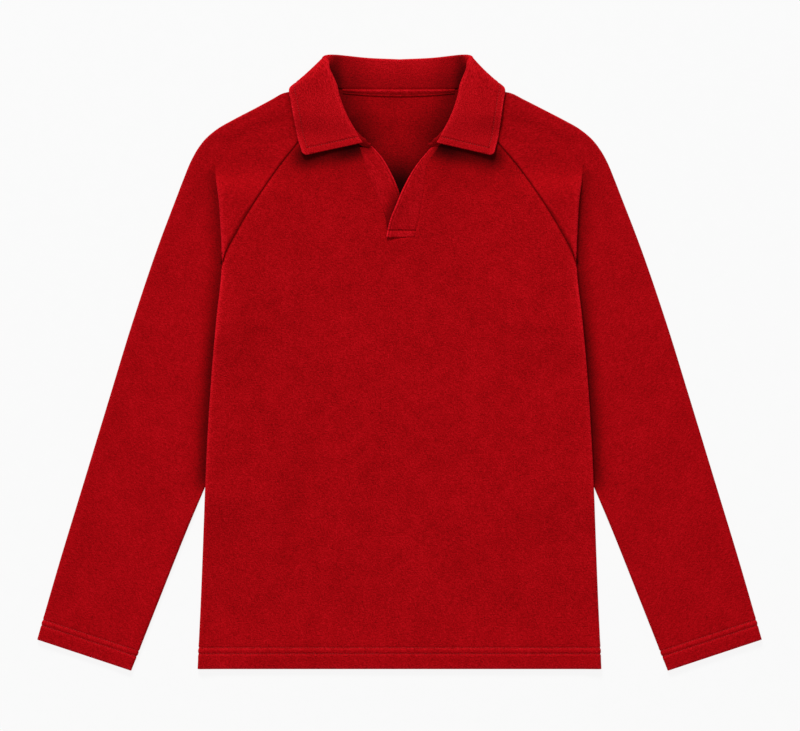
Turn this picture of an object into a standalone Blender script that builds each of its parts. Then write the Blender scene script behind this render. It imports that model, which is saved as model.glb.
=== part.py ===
"""A polo shirt with long raglan sleeves, laid flat on its back with the front up.

The shirt's length runs along +Y towards the collar, and +Z is up, away from the surface that it lies on.
The origin is under the middle of its box. Sizes are in millimetres and become metres in add_wall.
A half of the shirt is worked out in (out, up) coordinates, out being the distance from the middle line.
The wearer's right sleeve lies at -X. Under each arm both layers of the sleeve make one flat pleat, so the
body's edge lies over the sleeve: the lower layers, the pleat and the body are three levels there.
"""

from dataclasses import dataclass

import bpy
import numpy as np

MM = 0.001
SEAM = 0.3  # gap between two pieces that are sewn together

# Cloth
WALL = 1.6
HALF = WALL / 2
HEM_EXTRA = 0.8  # the turned-up band behind the hem and the cuffs
BAND_END = (1.5, -1.5)  # distances from the band's inner edge over which the wall becomes thicker
LAYERS = 1.25  # half the distance between the front and the back layer
TURN = 2.5  # radius of the pleat's turns, at the middle between both layers
COLLAR_WALL = 2.6
STRIP_WALL = 2.0

# Levels over the surface
FLOOR = HALF  # middle of a layer that lies on the surface
PLEAT_LIFT = 4 * TURN  # lift of the body where it lies over the sleeve and its pleat
SLEEVE_LIFT = 5.2  # lift of the body where it lies over the plain sleeve
NECK_LIFT = 3.4  # lift of the back neck over the collar's back fall
NECK_LIFT_UP = (268.0, 303.0)  # heights and
NECK_LIFT_OUT = (166.0, 134.0)  # distances from the middle line over which it grows
V_LIFT = 4.4  # half the extra space between the layers around the neck opening
V_MIDDLE = 243.0
V_REACH = (78.0, 88.0)  # across and up
EDGE_SWELL = 1.1  # how far the layers part at a side fold, each way
EDGE_SWELL_REACH = (2.0, 28.0)  # distances from the fold over which that fades
EDGE_SWELL_START = (15.0, 75.0)  # distances below the armpit over which it grows
BAND_SPACE = 0.9  # how far the turned-up bands part the layers at the hem and the cuffs, each way
BAND_SPACE_END = (80.0, 22.0)  # distances from the body's lower edge over which the layers come apart
CUFF_SPACE_END = (70.0, 24.0)  # and from the cuff
CREST_SEAM_LIFT = 0.4  # how far over the middle of the crest's turn the side seam lies at the armpit
SEAM_RISE = (16.0, 1.0)  # distances below the armpit over which the side seam climbs onto the crest

# Places along the shirt's length
HEM_Y = -367.0
HEM_BAND = 25.0
ARMPIT_Y = 117.6
CREST_TOP_Y = 246.0  # where the pleat fades out on the shoulder
CREST_FULL_Y = 190.0
FLAP_END_Y = (52.0, -25.0)  # the body comes down from the pleat to the plain sleeve
SLEEVE_OUT_Y = (-152.0, -225.0)  # and from the sleeve to the surface
SLOT_Y = 151.2  # bottom of the neck opening's slot
PLEAT_DEPTH = 13.5
BODY_FOLD = 3.6  # radius of the body's side fold, seen from above
OVER_SLEEVE = 24.0  # how far the body stays level over the sleeve
OVER_SLEEVE_END = 135.0
CREST_INSET = HALF + LAYERS + TURN  # from the body's edge to the middle of the crest's turn

# How far the side at +X lies further in than the other one: (height, distance). It grows over the first distances
# from the middle line, and loses a part over the second ones
NECK_OFFSET = (
    (-367.0, 0.0), (60.0, 0.6), (200.0, 2.2), (249.0, 2.9), (266.0, 3.8), (292.0, 4.9), (325.0, 5.8), (372.0, 5.4),
)  # fmt: skip
OFFSET_OUT, OFFSET_PAST, OFFSET_LOSS = (40.0, 115.0), (130.0, 175.0), 0.42

# The body's edge, and the pleat's crest above the armpit: (height, half width)
BODY_EDGE = (
    (-367.0, 242.5), (-284.0, 238.6), (-188.0, 234.8), (-97.0, 231.0), (-13.0, 225.6),
    (54.0, 219.6), (117.6, 213.4), (165.0, 215.0), (205.0, 218.4), (246.0, 227.4),
)  # fmt: skip

# Outer fold of the sleeve from the cuff to the neck: (out, up)
SLEEVE_OUTER = (
    (434.4, -332.4), (406.6, -236.4), (377.4, -140.4), (348.3, -44.4), (318.9, 51.6), (286.4, 147.6),
    (268.2, 195.6), (259.0, 219.6), (249.0, 243.6), (242.4, 255.6), (233.4, 267.6), (219.6, 279.6),
    (199.0, 291.6), (176.0, 303.6), (153.4, 315.6), (138.0, 323.6), (130.0, 325.0), (112.0, 327.6),
    (99.0, 330.0), (90.6, 331.6),
)  # fmt: skip
SLEEVE_ARMPIT_OUTER_Y = 141.6  # where the row through the armpit meets the outer fold

# Inner fold of the sleeve from the armpit row to the cuff: (out, up). Its upper half is under the body
SLEEVE_INNER = (
    (191.4, 111.0), (191.4, 80.0), (191.6, 30.0), (193.5, -15.0), (199.5, -55.0), (213.0, -100.0),
    (233.4, -148.8), (250.2, -188.4), (288.6, -284.4), (322.2, -369.6),
)  # fmt: skip

# Raglan seams from the armpit to the neck: (out, up)
FRONT_SEAM = (
    (213.4, 117.6), (212.0, 124.1), (196.2, 156.0), (170.8, 198.1), (145.6, 235.2), (122.3, 264.7),
    (101.0, 291.0), (83.4, 312.0),
)  # fmt: skip
BACK_SEAM = (
    (213.4, 117.6), (212.0, 124.1), (196.2, 156.0), (170.8, 198.1), (145.6, 235.2), (119.4, 270.0),
    (95.4, 303.0), (76.8, 329.5),
)  # fmt: skip

# Edges of the neck opening's slot from its bottom to the neck: (across, up)
SLOT_RIGHT = ((-14.6, 151.2), (-16.7, 172.8), (-24.0, 192.8), (-33.2, 213.1), (-40.6, 235.2), (-48.4, 260.9))
SLOT_LEFT = ((18.2, 151.2), (22.0, 167.2), (25.6, 185.5), (29.3, 207.6), (33.5, 237.0), (48.0, 260.9))
SEAM_INSET_TOP_Y = 170.0  # from here down to the armpit the raglan seams come in by half a wall, as the edge does
STRIP_ENDS = (0.012, 0.975)  # parts of the slot's edges that the strips take

# Free edges of the two placket strips from the bottom to the neck: (across, up)
UNDER_FREE = ((6.0, 151.6), (5.0, 180.0), (0.0, 201.6), (-9.0, 224.4), (-22.0, 247.0), (-33.0, 259.4))
OVER_FREE = (
    (-15.3, 151.0), (-13.0, 162.5), (-9.8, 174.0), (-4.4, 187.2), (3.8, 206.9), (19.0, 234.6), (39.0, 259.0),
)  # fmt: skip

# The collar from its front end round to the middle of the back. Each row has the neck seam, the rim of the roll and
# the outer edge, (out, up) each, which way the fall turns over the stand (1 up, 0 outwards, -1 down), and the steps
# to the next row
COLLAR = (
    ((34.5, 262.4), (47.6, 265.8), (116.0, 249.6), 1.0, 2),
    ((46.8, 262.8), (52.4, 276.6), (117.6, 257.4), 1.0, 2),
    ((59.4, 279.6), (57.6, 287.0), (121.4, 269.4), 1.0, 2),
    ((70.4, 295.9), (64.8, 302.0), (124.6, 285.6), 1.0, 2),
    ((80.2, 310.0), (71.4, 319.5), (127.8, 303.0), 1.0, 2),
    ((83.8, 320.0), (75.9, 336.0), (130.0, 316.0), 1.0, 2),
    ((84.8, 325.4), (83.0, 353.0), (131.8, 323.6), 1.0, 2),
    ((85.2, 328.0), (86.4, 362.0), (131.6, 328.0), 0.6, 2),
    ((85.4, 330.4), (89.0, 367.8), (129.8, 331.2), 0.0, 2),
    ((84.2, 331.8), (85.6, 370.0), (127.0, 331.6), -0.6, 2),
    ((78.6, 331.0), (77.0, 369.6), (119.0, 327.0), -1.0, 2),
    ((66.0, 330.2), (64.0, 368.6), (98.0, 317.4), -1.0, 2),
    ((38.0, 330.0), (36.4, 366.4), (50.0, 312.2), -1.0, 2),
    ((0.0, 330.0), (0.0, 364.8), (0.0, 310.8), -1.0, 0),
)  # fmt: skip
UNDER_DROP = (2.6, 3.4)  # how far a strip's free edge lies under the front at the bottom and at the neck
OVER_DROP = (-2.5, 1.7)
OVER_DROP_PARTS = (0.3, 0.7)  # parts of the strip's length over which it changes
TIP_LIFT = 3.0  # how far the collar's points stand off the shirt
TIP_ROWS = 2.5  # rows over which the edge comes down from there
COLLAR_FOLD = 2.0  # radius of the roll between stand and fall

# Neck tape
TAPE_HALF_WIDTH = 68.0
TAPE_TOP_Y = 329.0  # where it meets the stand
TAPE_DROP = (6.0, 10.0)  # from its top to its lower edge, at the side and in the middle
TAPE_WALL = 1.0


@dataclass(frozen=True)
class Finish:
    """Colour and sheen of one material."""

    name: str
    colour: tuple
    roughness: float


BODY_CLOTH = Finish("body cloth", (0.34, 0.003, 0.006, 1.0), 0.85)
SLEEVE_CLOTH = Finish("sleeve cloth", (0.36, 0.003, 0.007, 1.0), 0.85)
COLLAR_CLOTH = Finish("collar cloth", (0.41, 0.004, 0.009, 1.0), 0.8)
STRIP_CLOTH = Finish("placket cloth", (0.38, 0.004, 0.008, 1.0), 0.8)
TAPE_CLOTH = Finish("neck tape", (0.28, 0.002, 0.005, 1.0), 0.75)


# ---------------------------------------------------------------- curves


def smooth(value, start, end):
    """0 before start, 1 after end and a soft step between them. The end may lie below the start."""
    part = np.clip((np.asarray(value, float) - start) / (end - start), 0.0, 1.0)
    return part * part * (3 - 2 * part)


def settled(points):
    """Points with the neck and the shoulder at +X a little further in, as the shirt lies: not quite symmetric."""
    across, up = points[:, 0], points[:, 1]
    share = smooth(across, *OFFSET_OUT) * (1 - OFFSET_LOSS * smooth(across, *OFFSET_PAST))
    moved = points.copy()
    moved[:, 0] -= share * through(*np.array(NECK_OFFSET).T, up)
    return moved


def through(knots, columns, at):
    """Smooth values at the places `at` of a curve through columns, given at increasing knots."""
    knots, columns, at = (np.asarray(item, float) for item in (knots, columns, at))
    steps = np.diff(knots)
    slopes = np.diff(columns, axis=0) / steps.reshape((-1,) + (1,) * (columns.ndim - 1))
    tangents = np.gradient(columns, knots, axis=0)
    tangents[0], tangents[-1] = slopes[0], slopes[-1]
    span = np.clip(np.searchsorted(knots, at, side="right") - 1, 0, len(steps) - 1)
    part = np.clip((at - knots[span]) / steps[span], 0.0, 1.0)
    step = steps[span]
    if columns.ndim > 1:
        part, step = part[..., None], step[..., None]
    square, cube = part**2, part**3
    return (
        (2 * cube - 3 * square + 1) * columns[span]
        + (cube - 2 * square + part) * step * tangents[span]
        + (3 * square - 2 * cube) * columns[span + 1]
        + (cube - square) * step * tangents[span + 1]
    )


def dense(points, count=600):
    """Many points on the smooth curve through points, and their distance along it."""
    points = np.asarray(points, float)
    chords = np.concatenate([[0.0], np.cumsum(np.linalg.norm(np.diff(points, axis=0), axis=1))])
    curve = through(chords, points, np.linspace(0.0, chords[-1], count))
    lengths = np.concatenate([[0.0], np.cumsum(np.linalg.norm(np.diff(curve, axis=0), axis=1))])
    return curve, lengths


def along(points, parts):
    """Points on the smooth curve through points, at these parts of its length."""
    curve, lengths = dense(points)
    where = np.asarray(parts, float) * lengths[-1]
    return np.stack([np.interp(where, lengths, column) for column in curve.T], axis=-1)


def edge_at(height):
    """Half width of the body, or of the pleat's crest, at this height."""
    table = np.array(BODY_EDGE)
    return through(table[:, 0], table[:, 1], height)


# ---------------------------------------------------------------- heights of the body's layers


def crest_lift(height):
    """Lift of the body's edge over the surface, from the layers of sleeve under it."""
    rise = PLEAT_LIFT * (1 - np.cos(np.pi * smooth(height, CREST_TOP_Y, CREST_FULL_Y))) / 2
    over_pleat = 1 - smooth(height, *FLAP_END_Y)
    over_sleeve = 1 - smooth(height, *SLEEVE_OUT_Y)
    return rise - (PLEAT_LIFT - SLEEVE_LIFT) * (1 - over_pleat) - SLEEVE_LIFT * (1 - over_sleeve)


def neck_lift(out, height):
    """Lift of the back layer over the collar's back fall."""
    return NECK_LIFT * smooth(height, *NECK_LIFT_UP) * smooth(out, *NECK_LIFT_OUT)


def back_level(out, height):
    """Middle of the back layer."""
    inward = edge_at(np.minimum(height, CREST_TOP_Y)) - out
    over = 1 - smooth(inward, OVER_SLEEVE, OVER_SLEEVE_END)
    return FLOOR + crest_lift(height) * over + neck_lift(out, height)


def half_space(out, height):
    """Half the distance between the front and the back layer."""
    inward = edge_at(np.minimum(height, ARMPIT_Y)) - out
    grown = smooth(ARMPIT_Y - height, *EDGE_SWELL_START)
    swell = EDGE_SWELL * grown * (1 - smooth(inward, *EDGE_SWELL_REACH))
    opening = V_LIFT * np.exp(-((out / V_REACH[0]) ** 2) - ((height - V_MIDDLE) / V_REACH[1]) ** 2)
    hem = BAND_SPACE * smooth(height - HEM_Y, *BAND_SPACE_END)
    return LAYERS + swell + opening + hem


def front_level(out, height):
    """Middle of the front layer."""
    return back_level(out, height) + 2 * half_space(out, height)


def side_seam_level(height):
    """Height of the side seam: at the armpit it is on the pleat's crest, lower down in the middle of the fold."""
    edge = edge_at(height) - HALF
    middle = back_level(edge, height) + half_space(edge, height)
    crest = front_level(edge, height) - TURN - LAYERS + CREST_SEAM_LIFT
    return middle + (crest - middle) * smooth(ARMPIT_Y - height, *SEAM_RISE)


# ---------------------------------------------------------------- walls


def face_normals(points, faces):
    corners = points[faces]
    return np.cross(corners[:, 2] - corners[:, 0], corners[:, 3] - corners[:, 1])


def point_normals(points, faces):
    """Unit normals of a quad surface at its points."""
    normals = np.zeros_like(points)
    each = face_normals(points, faces)
    for corner in range(4):
        np.add.at(normals, faces[:, corner], each)
    return normals / np.maximum(np.linalg.norm(normals, axis=1, keepdims=True), 1e-12)


def grid_faces(index, keep=None):
    """Quads of a grid of point numbers. The first axis runs to the left of the second, seen from the outer side."""
    quads = np.stack([index[:-1, :-1], index[:-1, 1:], index[1:, 1:], index[1:, :-1]], axis=-1)
    quads = quads.reshape(-1, 4) if keep is None else quads[keep]
    return quads


def material(finish):
    made = bpy.data.materials.get(finish.name) or bpy.data.materials.new(finish.name)
    made.use_nodes = True
    surface = made.node_tree.nodes["Principled BSDF"]
    surface.inputs["Base Color"].default_value = finish.colour
    surface.inputs["Roughness"].default_value = finish.roughness
    made.diffuse_color = finish.colour
    return made


def add_wall(name, points, faces, outer, inner, finish, normals=None):
    """One piece of cloth: the surface through points, with a wall from `inner` behind it to `outer` before it."""
    if normals is None:
        normals = point_normals(points, faces)
    outer = np.broadcast_to(np.asarray(outer, float), len(points))[:, None]
    inner = np.broadcast_to(np.asarray(inner, float), len(points))[:, None]
    count = len(points)
    vertices = settled(np.concatenate([points + normals * outer, points - normals * inner]))
    edges = {(int(face[i]), int(face[(i + 1) % 4])) for face in faces for i in range(4)}
    rims = [(b, a, a + count, b + count) for a, b in sorted(edges) if (b, a) not in edges]
    quads = [tuple(int(i) for i in face) for face in faces]
    quads += [tuple(int(i) + count for i in face[::-1]) for face in faces]
    mesh = bpy.data.meshes.new(name)
    mesh.from_pydata((vertices * MM).tolist(), [], quads + rims)
    mesh.materials.append(material(finish))
    mesh.shade_smooth()
    mesh.set_sharp_from_angle(angle=np.radians(50))
    made = bpy.data.objects.new(name, mesh)
    bpy.context.scene.collection.objects.link(made)
    return made


# ---------------------------------------------------------------- front and back panels

# Rows of the body: heights up to the armpit, then parts of the raglan seam
HEM_STEPS = (0.0, 3.0, 22.5, 27.5)  # over the hem's edge
BODY_ROWS = (-285.0, -230.0, -190.0, -155.0, -105.0, -45.0, 5.0, 42.0, 75.0, 99.0, 111.0)
SHOULDER_ROWS = (
    0.02, 0.059, 0.11, 0.18, 0.25, 0.3, 0.335, 0.36, 0.38, 0.398, 0.418, 0.445, 0.5, 0.58, 0.68, 0.78, 0.89, 1.0,
)  # fmt: skip
CREST_GAP, CREST_GAP_Y = 0.5, (152.0, 122.0)  # what the crest adds to half the gap at the seam, and where
FAN = 1.08  # a row that starts at this part of the sleeve's outer fold meets the seam at this power of it
SEAM_ROWS = np.array(SHOULDER_ROWS) ** FAN
# Columns from the side fold inwards, as parts of the half width
SIDE_COLUMNS = (0.0, 0.0035, 0.0085, 0.017, 0.07, 0.16, 0.3, 0.48, 0.72, 1.0)


def panel_outline(seam):
    """(out, up) of the panel's edge from the hem to the neck, and whether each point is on the side fold."""
    low = np.array([HEM_Y + step for step in HEM_STEPS] + list(BODY_ROWS) + [ARMPIT_Y])
    side = np.stack([edge_at(low) - HALF, low], axis=-1)
    upper = along(seam, SEAM_ROWS)
    upper[:, 0] -= HALF * smooth(upper[:, 1], SEAM_INSET_TOP_Y, ARMPIT_Y)
    return np.concatenate([side, upper]), np.arange(len(side) + len(upper)) < len(side)


def trim_at(height):
    """Half the gap at the raglan seam. It is wider where the seam runs over the crest at the armpit."""
    return SEAM / 2 + CREST_GAP * smooth(height, *CREST_GAP_Y)


def seam_trim(outline, on_side):
    """The outline moved into the panel along the raglan seam, and not along the side fold."""
    heading = np.gradient(outline, axis=0)
    heading /= np.linalg.norm(heading, axis=1, keepdims=True)
    inward = np.stack([-heading[:, 1], heading[:, 0]], axis=-1)
    by = np.where(on_side, 0.0, trim_at(outline[:, 1]))
    return outline + by[:, None] * inward


def fold_round(flat, seam_level, depth, fold):
    """Height of a layer near the side fold: an arc from the seam to the layer's flat level."""
    part = np.clip(depth / fold, 0.0, 1.0)
    return seam_level + (flat - seam_level) * np.sqrt(1 - (1 - part) ** 2)


def hem_wall(height):
    """Wall behind the middle surface: thicker in the turned-up band."""
    return HALF + HEM_EXTRA * smooth(height - HEM_Y - HEM_BAND, *BAND_END)


# Heights over the armpit at which a panel's round edge ends, the front takes the crest's round, the back lies flat
SIDE_FOLD_END, FRONT_TO_CREST, BACK_TO_FLAT = 14.0, (0.0, 6.0), (-2.0, 8.0)


def near_side(grid, level, split):
    """Heights of a panel with its side folds. split parts the front from the back at the side seam."""
    out, height = np.abs(grid[..., 0]), grid[..., 1]
    below = np.minimum(height, ARMPIT_Y)
    above = smooth(height - ARMPIT_Y, *FRONT_TO_CREST)
    seam = side_seam_level(below) + split
    depth = np.maximum(edge_at(height) - HALF - out, 0.0)
    near = height < ARMPIT_Y + SIDE_FOLD_END
    flat = level(out, height)
    if split > 0:
        seam = seam + (flat - TURN - LAYERS - seam) * above
        return np.where(near, fold_round(flat, seam, depth, BODY_FOLD), flat)
    seam = seam + (flat - seam) * smooth(height - ARMPIT_Y, *BACK_TO_FLAT)
    return np.where(near, fold_round(flat, seam, depth, BODY_FOLD), flat)


def side_normals(points, faces, index, on_side):
    """Normals of a panel, level along its side seams so that front and back meet edge to edge."""
    normals = point_normals(points, faces)
    for column in (0, -1):
        rows = index[on_side, column]
        normals[rows, 2] = 0.0
        normals[rows] /= np.linalg.norm(normals[rows], axis=1, keepdims=True)
    return normals


SLOT_ROW = len(HEM_STEPS) + len(BODY_ROWS) + 2  # the row that reaches the slot's bottom, just over the armpit
SLOT_PARTS = np.linspace(0.0, 1.0, len(SEAM_ROWS) - 1)  # rows along the slot's edges
SLOT_MIDDLE = 16.4  # the columns beside the middle line are this far out
LAST_LEVEL_ROW = 8  # from this row on, the rows bend up towards the slot's bottom at the middle
# Heights over the armpit between which the back's edge comes in to lie inside the crest
INSIDE_CREST_BELOW, INSIDE_CREST_ABOVE = (-22.0, -2.0), (30.0, 8.0)
BACK_CURVE = 1.6  # how much closer the back's rows lie at the slot's bottom than at the neck, as a power


def centre_heights(outline):
    """Height of each row beside the middle line, up to the slot's bottom."""
    stretch = smooth(np.arange(len(outline)), LAST_LEVEL_ROW, SLOT_ROW)
    return outline[:, 1] + (SLOT_Y - outline[SLOT_ROW, 1]) * stretch


def half_panel(outline, line):
    """Points from the side inwards, between the panel's outline and the line beside its middle."""
    return outline + (line - outline) * np.array(SIDE_COLUMNS)[:, None, None]


def front_grid():
    outline, on_side = panel_outline(FRONT_SEAM)
    outline = seam_trim(outline, on_side)
    lines = []
    for edge in (SLOT_RIGHT, SLOT_LEFT):
        line = np.stack([np.full(len(outline), edge[0][0]), centre_heights(outline)], axis=-1)
        line[SLOT_ROW:] = along(edge, SLOT_PARTS)
        lines.append(line)
    right, left = half_panel(outline * (-1, 1), lines[0]), half_panel(outline, lines[1])
    middle = (lines[0] + lines[1]) / 2
    return np.concatenate([right, middle[None], left[::-1]]).transpose(1, 0, 2), on_side


def back_grid():
    outline, on_side = panel_outline(BACK_SEAM)
    outline = seam_trim(outline, on_side)
    up = outline[:, 1]
    inner_crest = smooth(up - ARMPIT_Y, *INSIDE_CREST_BELOW) * smooth(up - ARMPIT_Y, *INSIDE_CREST_ABOVE)
    outline[:, 0] -= 2 * LAYERS * inner_crest
    line = np.stack([np.full(len(outline), SLOT_MIDDLE), centre_heights(outline)], axis=-1)
    line[SLOT_ROW:, 1] = SLOT_Y + (outline[-1, 1] - SLOT_Y) * SLOT_PARTS**BACK_CURVE
    half = half_panel(outline, line)
    middle = line * (0, 1)
    return np.concatenate([half * (-1, 1), middle[None], half[::-1]]).transpose(1, 0, 2), on_side


def build_front():
    grid, on_side = front_grid()
    level = near_side(grid, front_level, SEAM / 2)
    points = np.concatenate([grid, level[..., None]], axis=-1).reshape(-1, 3)
    rows, columns = grid.shape[:2]
    index = np.arange(rows * columns).reshape(rows, columns)
    keep = np.ones((rows - 1, columns - 1), bool)
    middle = len(SIDE_COLUMNS)
    keep[SLOT_ROW:, middle - 1 : middle + 1] = False
    faces = grid_faces(index, keep)
    used = np.unique(faces)
    renumber = np.zeros(len(points), int)
    renumber[used] = np.arange(len(used))
    normals = side_normals(points, faces, index, on_side)[used]
    points, faces = points[used], renumber[faces]
    add_wall("front", points, faces, HALF, hem_wall(points[:, 1]), BODY_CLOTH, normals)


def build_back():
    grid, on_side = back_grid()
    level = near_side(grid, back_level, -SEAM / 2)
    points = np.concatenate([grid, level[..., None]], axis=-1).reshape(-1, 3)
    rows, columns = grid.shape[:2]
    index = np.arange(rows * columns).reshape(rows, columns)[:, ::-1]
    faces = grid_faces(index)
    normals = side_normals(points, faces, index, on_side)
    add_wall("back", points, faces, HALF, hem_wall(points[:, 1]), BODY_CLOTH, normals)


# ---------------------------------------------------------------- sleeves

CLOSED_ROWS = (1.0, 0.994, 0.957, 0.947, 0.8, 0.6, 0.43, 0.3, 0.2, 0.165, 0.14, 0.115, 0.09, 0.06, 0.03, 0.0)
HEAD_COLUMNS = 8  # on each layer, from the outer fold to the pleat
TAIL_COLUMNS = 9  # from there to the seam
CUFF_BAND = 25.0
SLEEVE_LENGTH = 500.0
FOLD_SWELL = 1.2  # how far the layers part at the sleeve's own folds, each way
FOLD_REACH = (3.0, 30.0)  # distances from the outer fold over which that fades
FLAP_SLOPE = 45.0  # how far the columns' split moves outwards as the flap comes out flat
FLAP_CURL = 40.0  # degrees by which the flap's end curls back at the armpit
# Parts of the way from the armpit to the cuff over which the flap opens out flat and its pleat and its curl end
FLAP_OPENS, PLEAT_ENDS, CURL_ENDS = (0.075, 0.17), (0.0, 0.1), (0.0, 0.03)
SLEEVE_FREE_Y = (-146.0, -200.0)  # heights of the inner fold over which it comes out from under the body
TURN_SWELL = (28.0, 2.0)  # distances before the inner fold over which its swell grows
SEAM_LEVEL_REACH = 20.0  # distance from a turn over which a row takes up the body's level
FOLD_STEPS, TURN_STEPS, DEPTH_STEPS = 12, 24, 10  # points of a quarter fold, of a turn and of the straight between
LEAST_FLAT = 8.0  # shortest flat part of an open row
LENGTH_A_COLUMN = 22.0
BENDS_A_COLUMN = 0.5
NECK_END = (0.8, 1.0)  # parts of the shoulder rows over which the outer fold's swell halves
ROUNDS = 30  # repetitions that find where a row meets the pleat


@dataclass
class Row:
    """One row across a sleeve: where it starts, which way it runs and how it folds."""

    start: np.ndarray
    heading: np.ndarray
    swell: float
    closed: bool
    turn_at: float = 0.0  # distance to the hidden turn
    turned: float = 0.0  # angle of the turns
    depth: float = 0.0  # straight part of a flap's pleat
    end_turned: float = 0.0  # angle turned back at a flap's end
    crest_at: float = 0.0  # distance to the crest's top
    end: float = 0.0  # distance to the seam, on an open row
    end_swell: float = 0.0
    cuff: float = 0.0  # how far the turned-up band parts the layers, each way
    split_at: float = 0.0  # where the columns are parted

    def place(self, distance):
        """(out, up) at this distance along the row."""
        return self.start + np.multiply.outer(distance, self.heading)


def outer_split():
    """Part of the outer fold's length at which the armpit row starts."""
    curve, lengths = dense(SLEEVE_OUTER)
    return np.interp(SLEEVE_ARMPIT_OUTER_Y, curve[:, 1], lengths) / lengths[-1]


def closed_row(part, split):
    """A row of the tube below the armpit. Near the armpit its inner end is a flap, folded up under the body."""
    start = along(SLEEVE_OUTER, split * (1 - part))
    finish = along(SLEEVE_INNER, part)
    width = np.linalg.norm(finish - start)
    turned = np.pi * (1 - smooth(part, *FLAP_OPENS))
    out_of_body = smooth(finish[1], *SLEEVE_FREE_Y)
    reach = HALF + LAYERS + TURN * np.sin(min(turned, np.pi / 2)) + FOLD_SWELL * out_of_body
    return Row(
        start=start,
        heading=(finish - start) / width,
        swell=FOLD_SWELL,
        closed=True,
        turn_at=width - reach,
        turned=turned,
        depth=PLEAT_DEPTH * (1 - smooth(part, *PLEAT_ENDS)),
        end_turned=np.radians(FLAP_CURL) * (1 - smooth(part, *CURL_ENDS)),
        end_swell=FOLD_SWELL * out_of_body,
        cuff=BAND_SPACE * smooth((1 - part) * SLEEVE_LENGTH, *CUFF_SPACE_END),
        split_at=width - reach - FLAP_SLOPE * (1 - turned / np.pi),
    )


def turn_angle(lift):
    """Angle of the pleat's two turns under a crest of this lift."""
    return np.arccos(np.clip(1 - lift / (2 * TURN), -1.0, 1.0))


def pleat(row, side, first, straight, second):
    """(distance, level) where an open row meets the pleat under the body's edge.

    first, straight and second are the parts of the first turn, of the stretch between the turns and of the second
    turn that lie behind each point. The pleat grows down the edge, so each point takes the pleat's shape at its own
    height. The heights are found by repetition: shape at a height, place of the row on it, height of that place.
    """
    height = np.full(len(first), row.start[1])
    near, far = TURN - side * LAYERS, TURN + side * LAYERS
    for _ in range(ROUNDS):
        turned = turn_angle(crest_lift(height))
        depth = PLEAT_DEPTH * smooth(height, CREST_FULL_Y - 2, ARMPIT_Y)
        run, climb = depth * np.cos(turned), depth * np.sin(turned)
        span = 2 * TURN * np.sin(turned) + run
        last = turned * (1 - second)
        before = (near * np.sin(turned * first) + straight * run, straight * climb - near * np.cos(turned * first))
        after = (span - far * np.sin(last), climb - 2 * TURN * np.cos(turned) + far * np.cos(last))
        inward, level = np.where(second > 0, after, before)
        edge = edge_at(np.clip(height, HEM_Y, CREST_TOP_Y))
        distance = (edge - CREST_INSET + span - inward - row.start[0]) / row.heading[0]
        height = row.start[1] + row.heading[1] * distance
    return np.stack([distance, FLOOR + LAYERS + TURN + level], axis=-1)


def open_row(part, split, seam):
    """A row over the shoulder to a raglan seam. It crosses the pleat's crest below the crest's top."""
    start = along(SLEEVE_OUTER, split + (1 - split) * part)
    finish = along(seam, part**FAN)
    finish = finish - np.array([HALF, 0.0]) * smooth(finish[1], SEAM_INSET_TOP_Y, ARMPIT_Y)
    width = np.linalg.norm(finish - start)
    swell = FOLD_SWELL * (1 - smooth(part, *NECK_END) / 2)
    row = Row(start, (finish - start) / width, swell, closed=False, end=width - trim_at(finish[1]))
    row.turn_at, row.crest_at = (max(LEAST_FLAT, pleat(row, 1, *np.full((3, 1), at))[0, 0]) for at in (0.0, 1.0))
    row.split_at = row.turn_at
    row.turned = turn_angle(crest_lift(row.place(row.crest_at)[1]))
    return row


def flat_part(row, side):
    """(distance, level) of a layer from the outer fold, a quarter circle, to the place where it turns."""
    swell = LAYERS + row.swell
    turn = np.linspace(0.0, np.pi / 2, FOLD_STEPS)
    start = FLOOR + neck_lift(*row.place(swell))
    fold = np.stack([swell * (1 - np.cos(turn)), swell * (1 + side * np.sin(turn)) + start], axis=-1)
    across = np.linspace(swell, row.turn_at, 80)[1:]
    space = LAYERS + row.cuff + (row.swell - row.cuff) * (1 - smooth(across, *FOLD_REACH))
    space += (row.end_swell - row.cuff) * smooth(row.turn_at - across, *TURN_SWELL)
    out, height = row.place(across).T
    if not row.closed:
        space = np.maximum(space, half_space(out, height))
    level = FLOOR + neck_lift(out, height) + (1 + side) * space
    return np.concatenate([fold, np.stack([across, level], axis=-1)])


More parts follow.
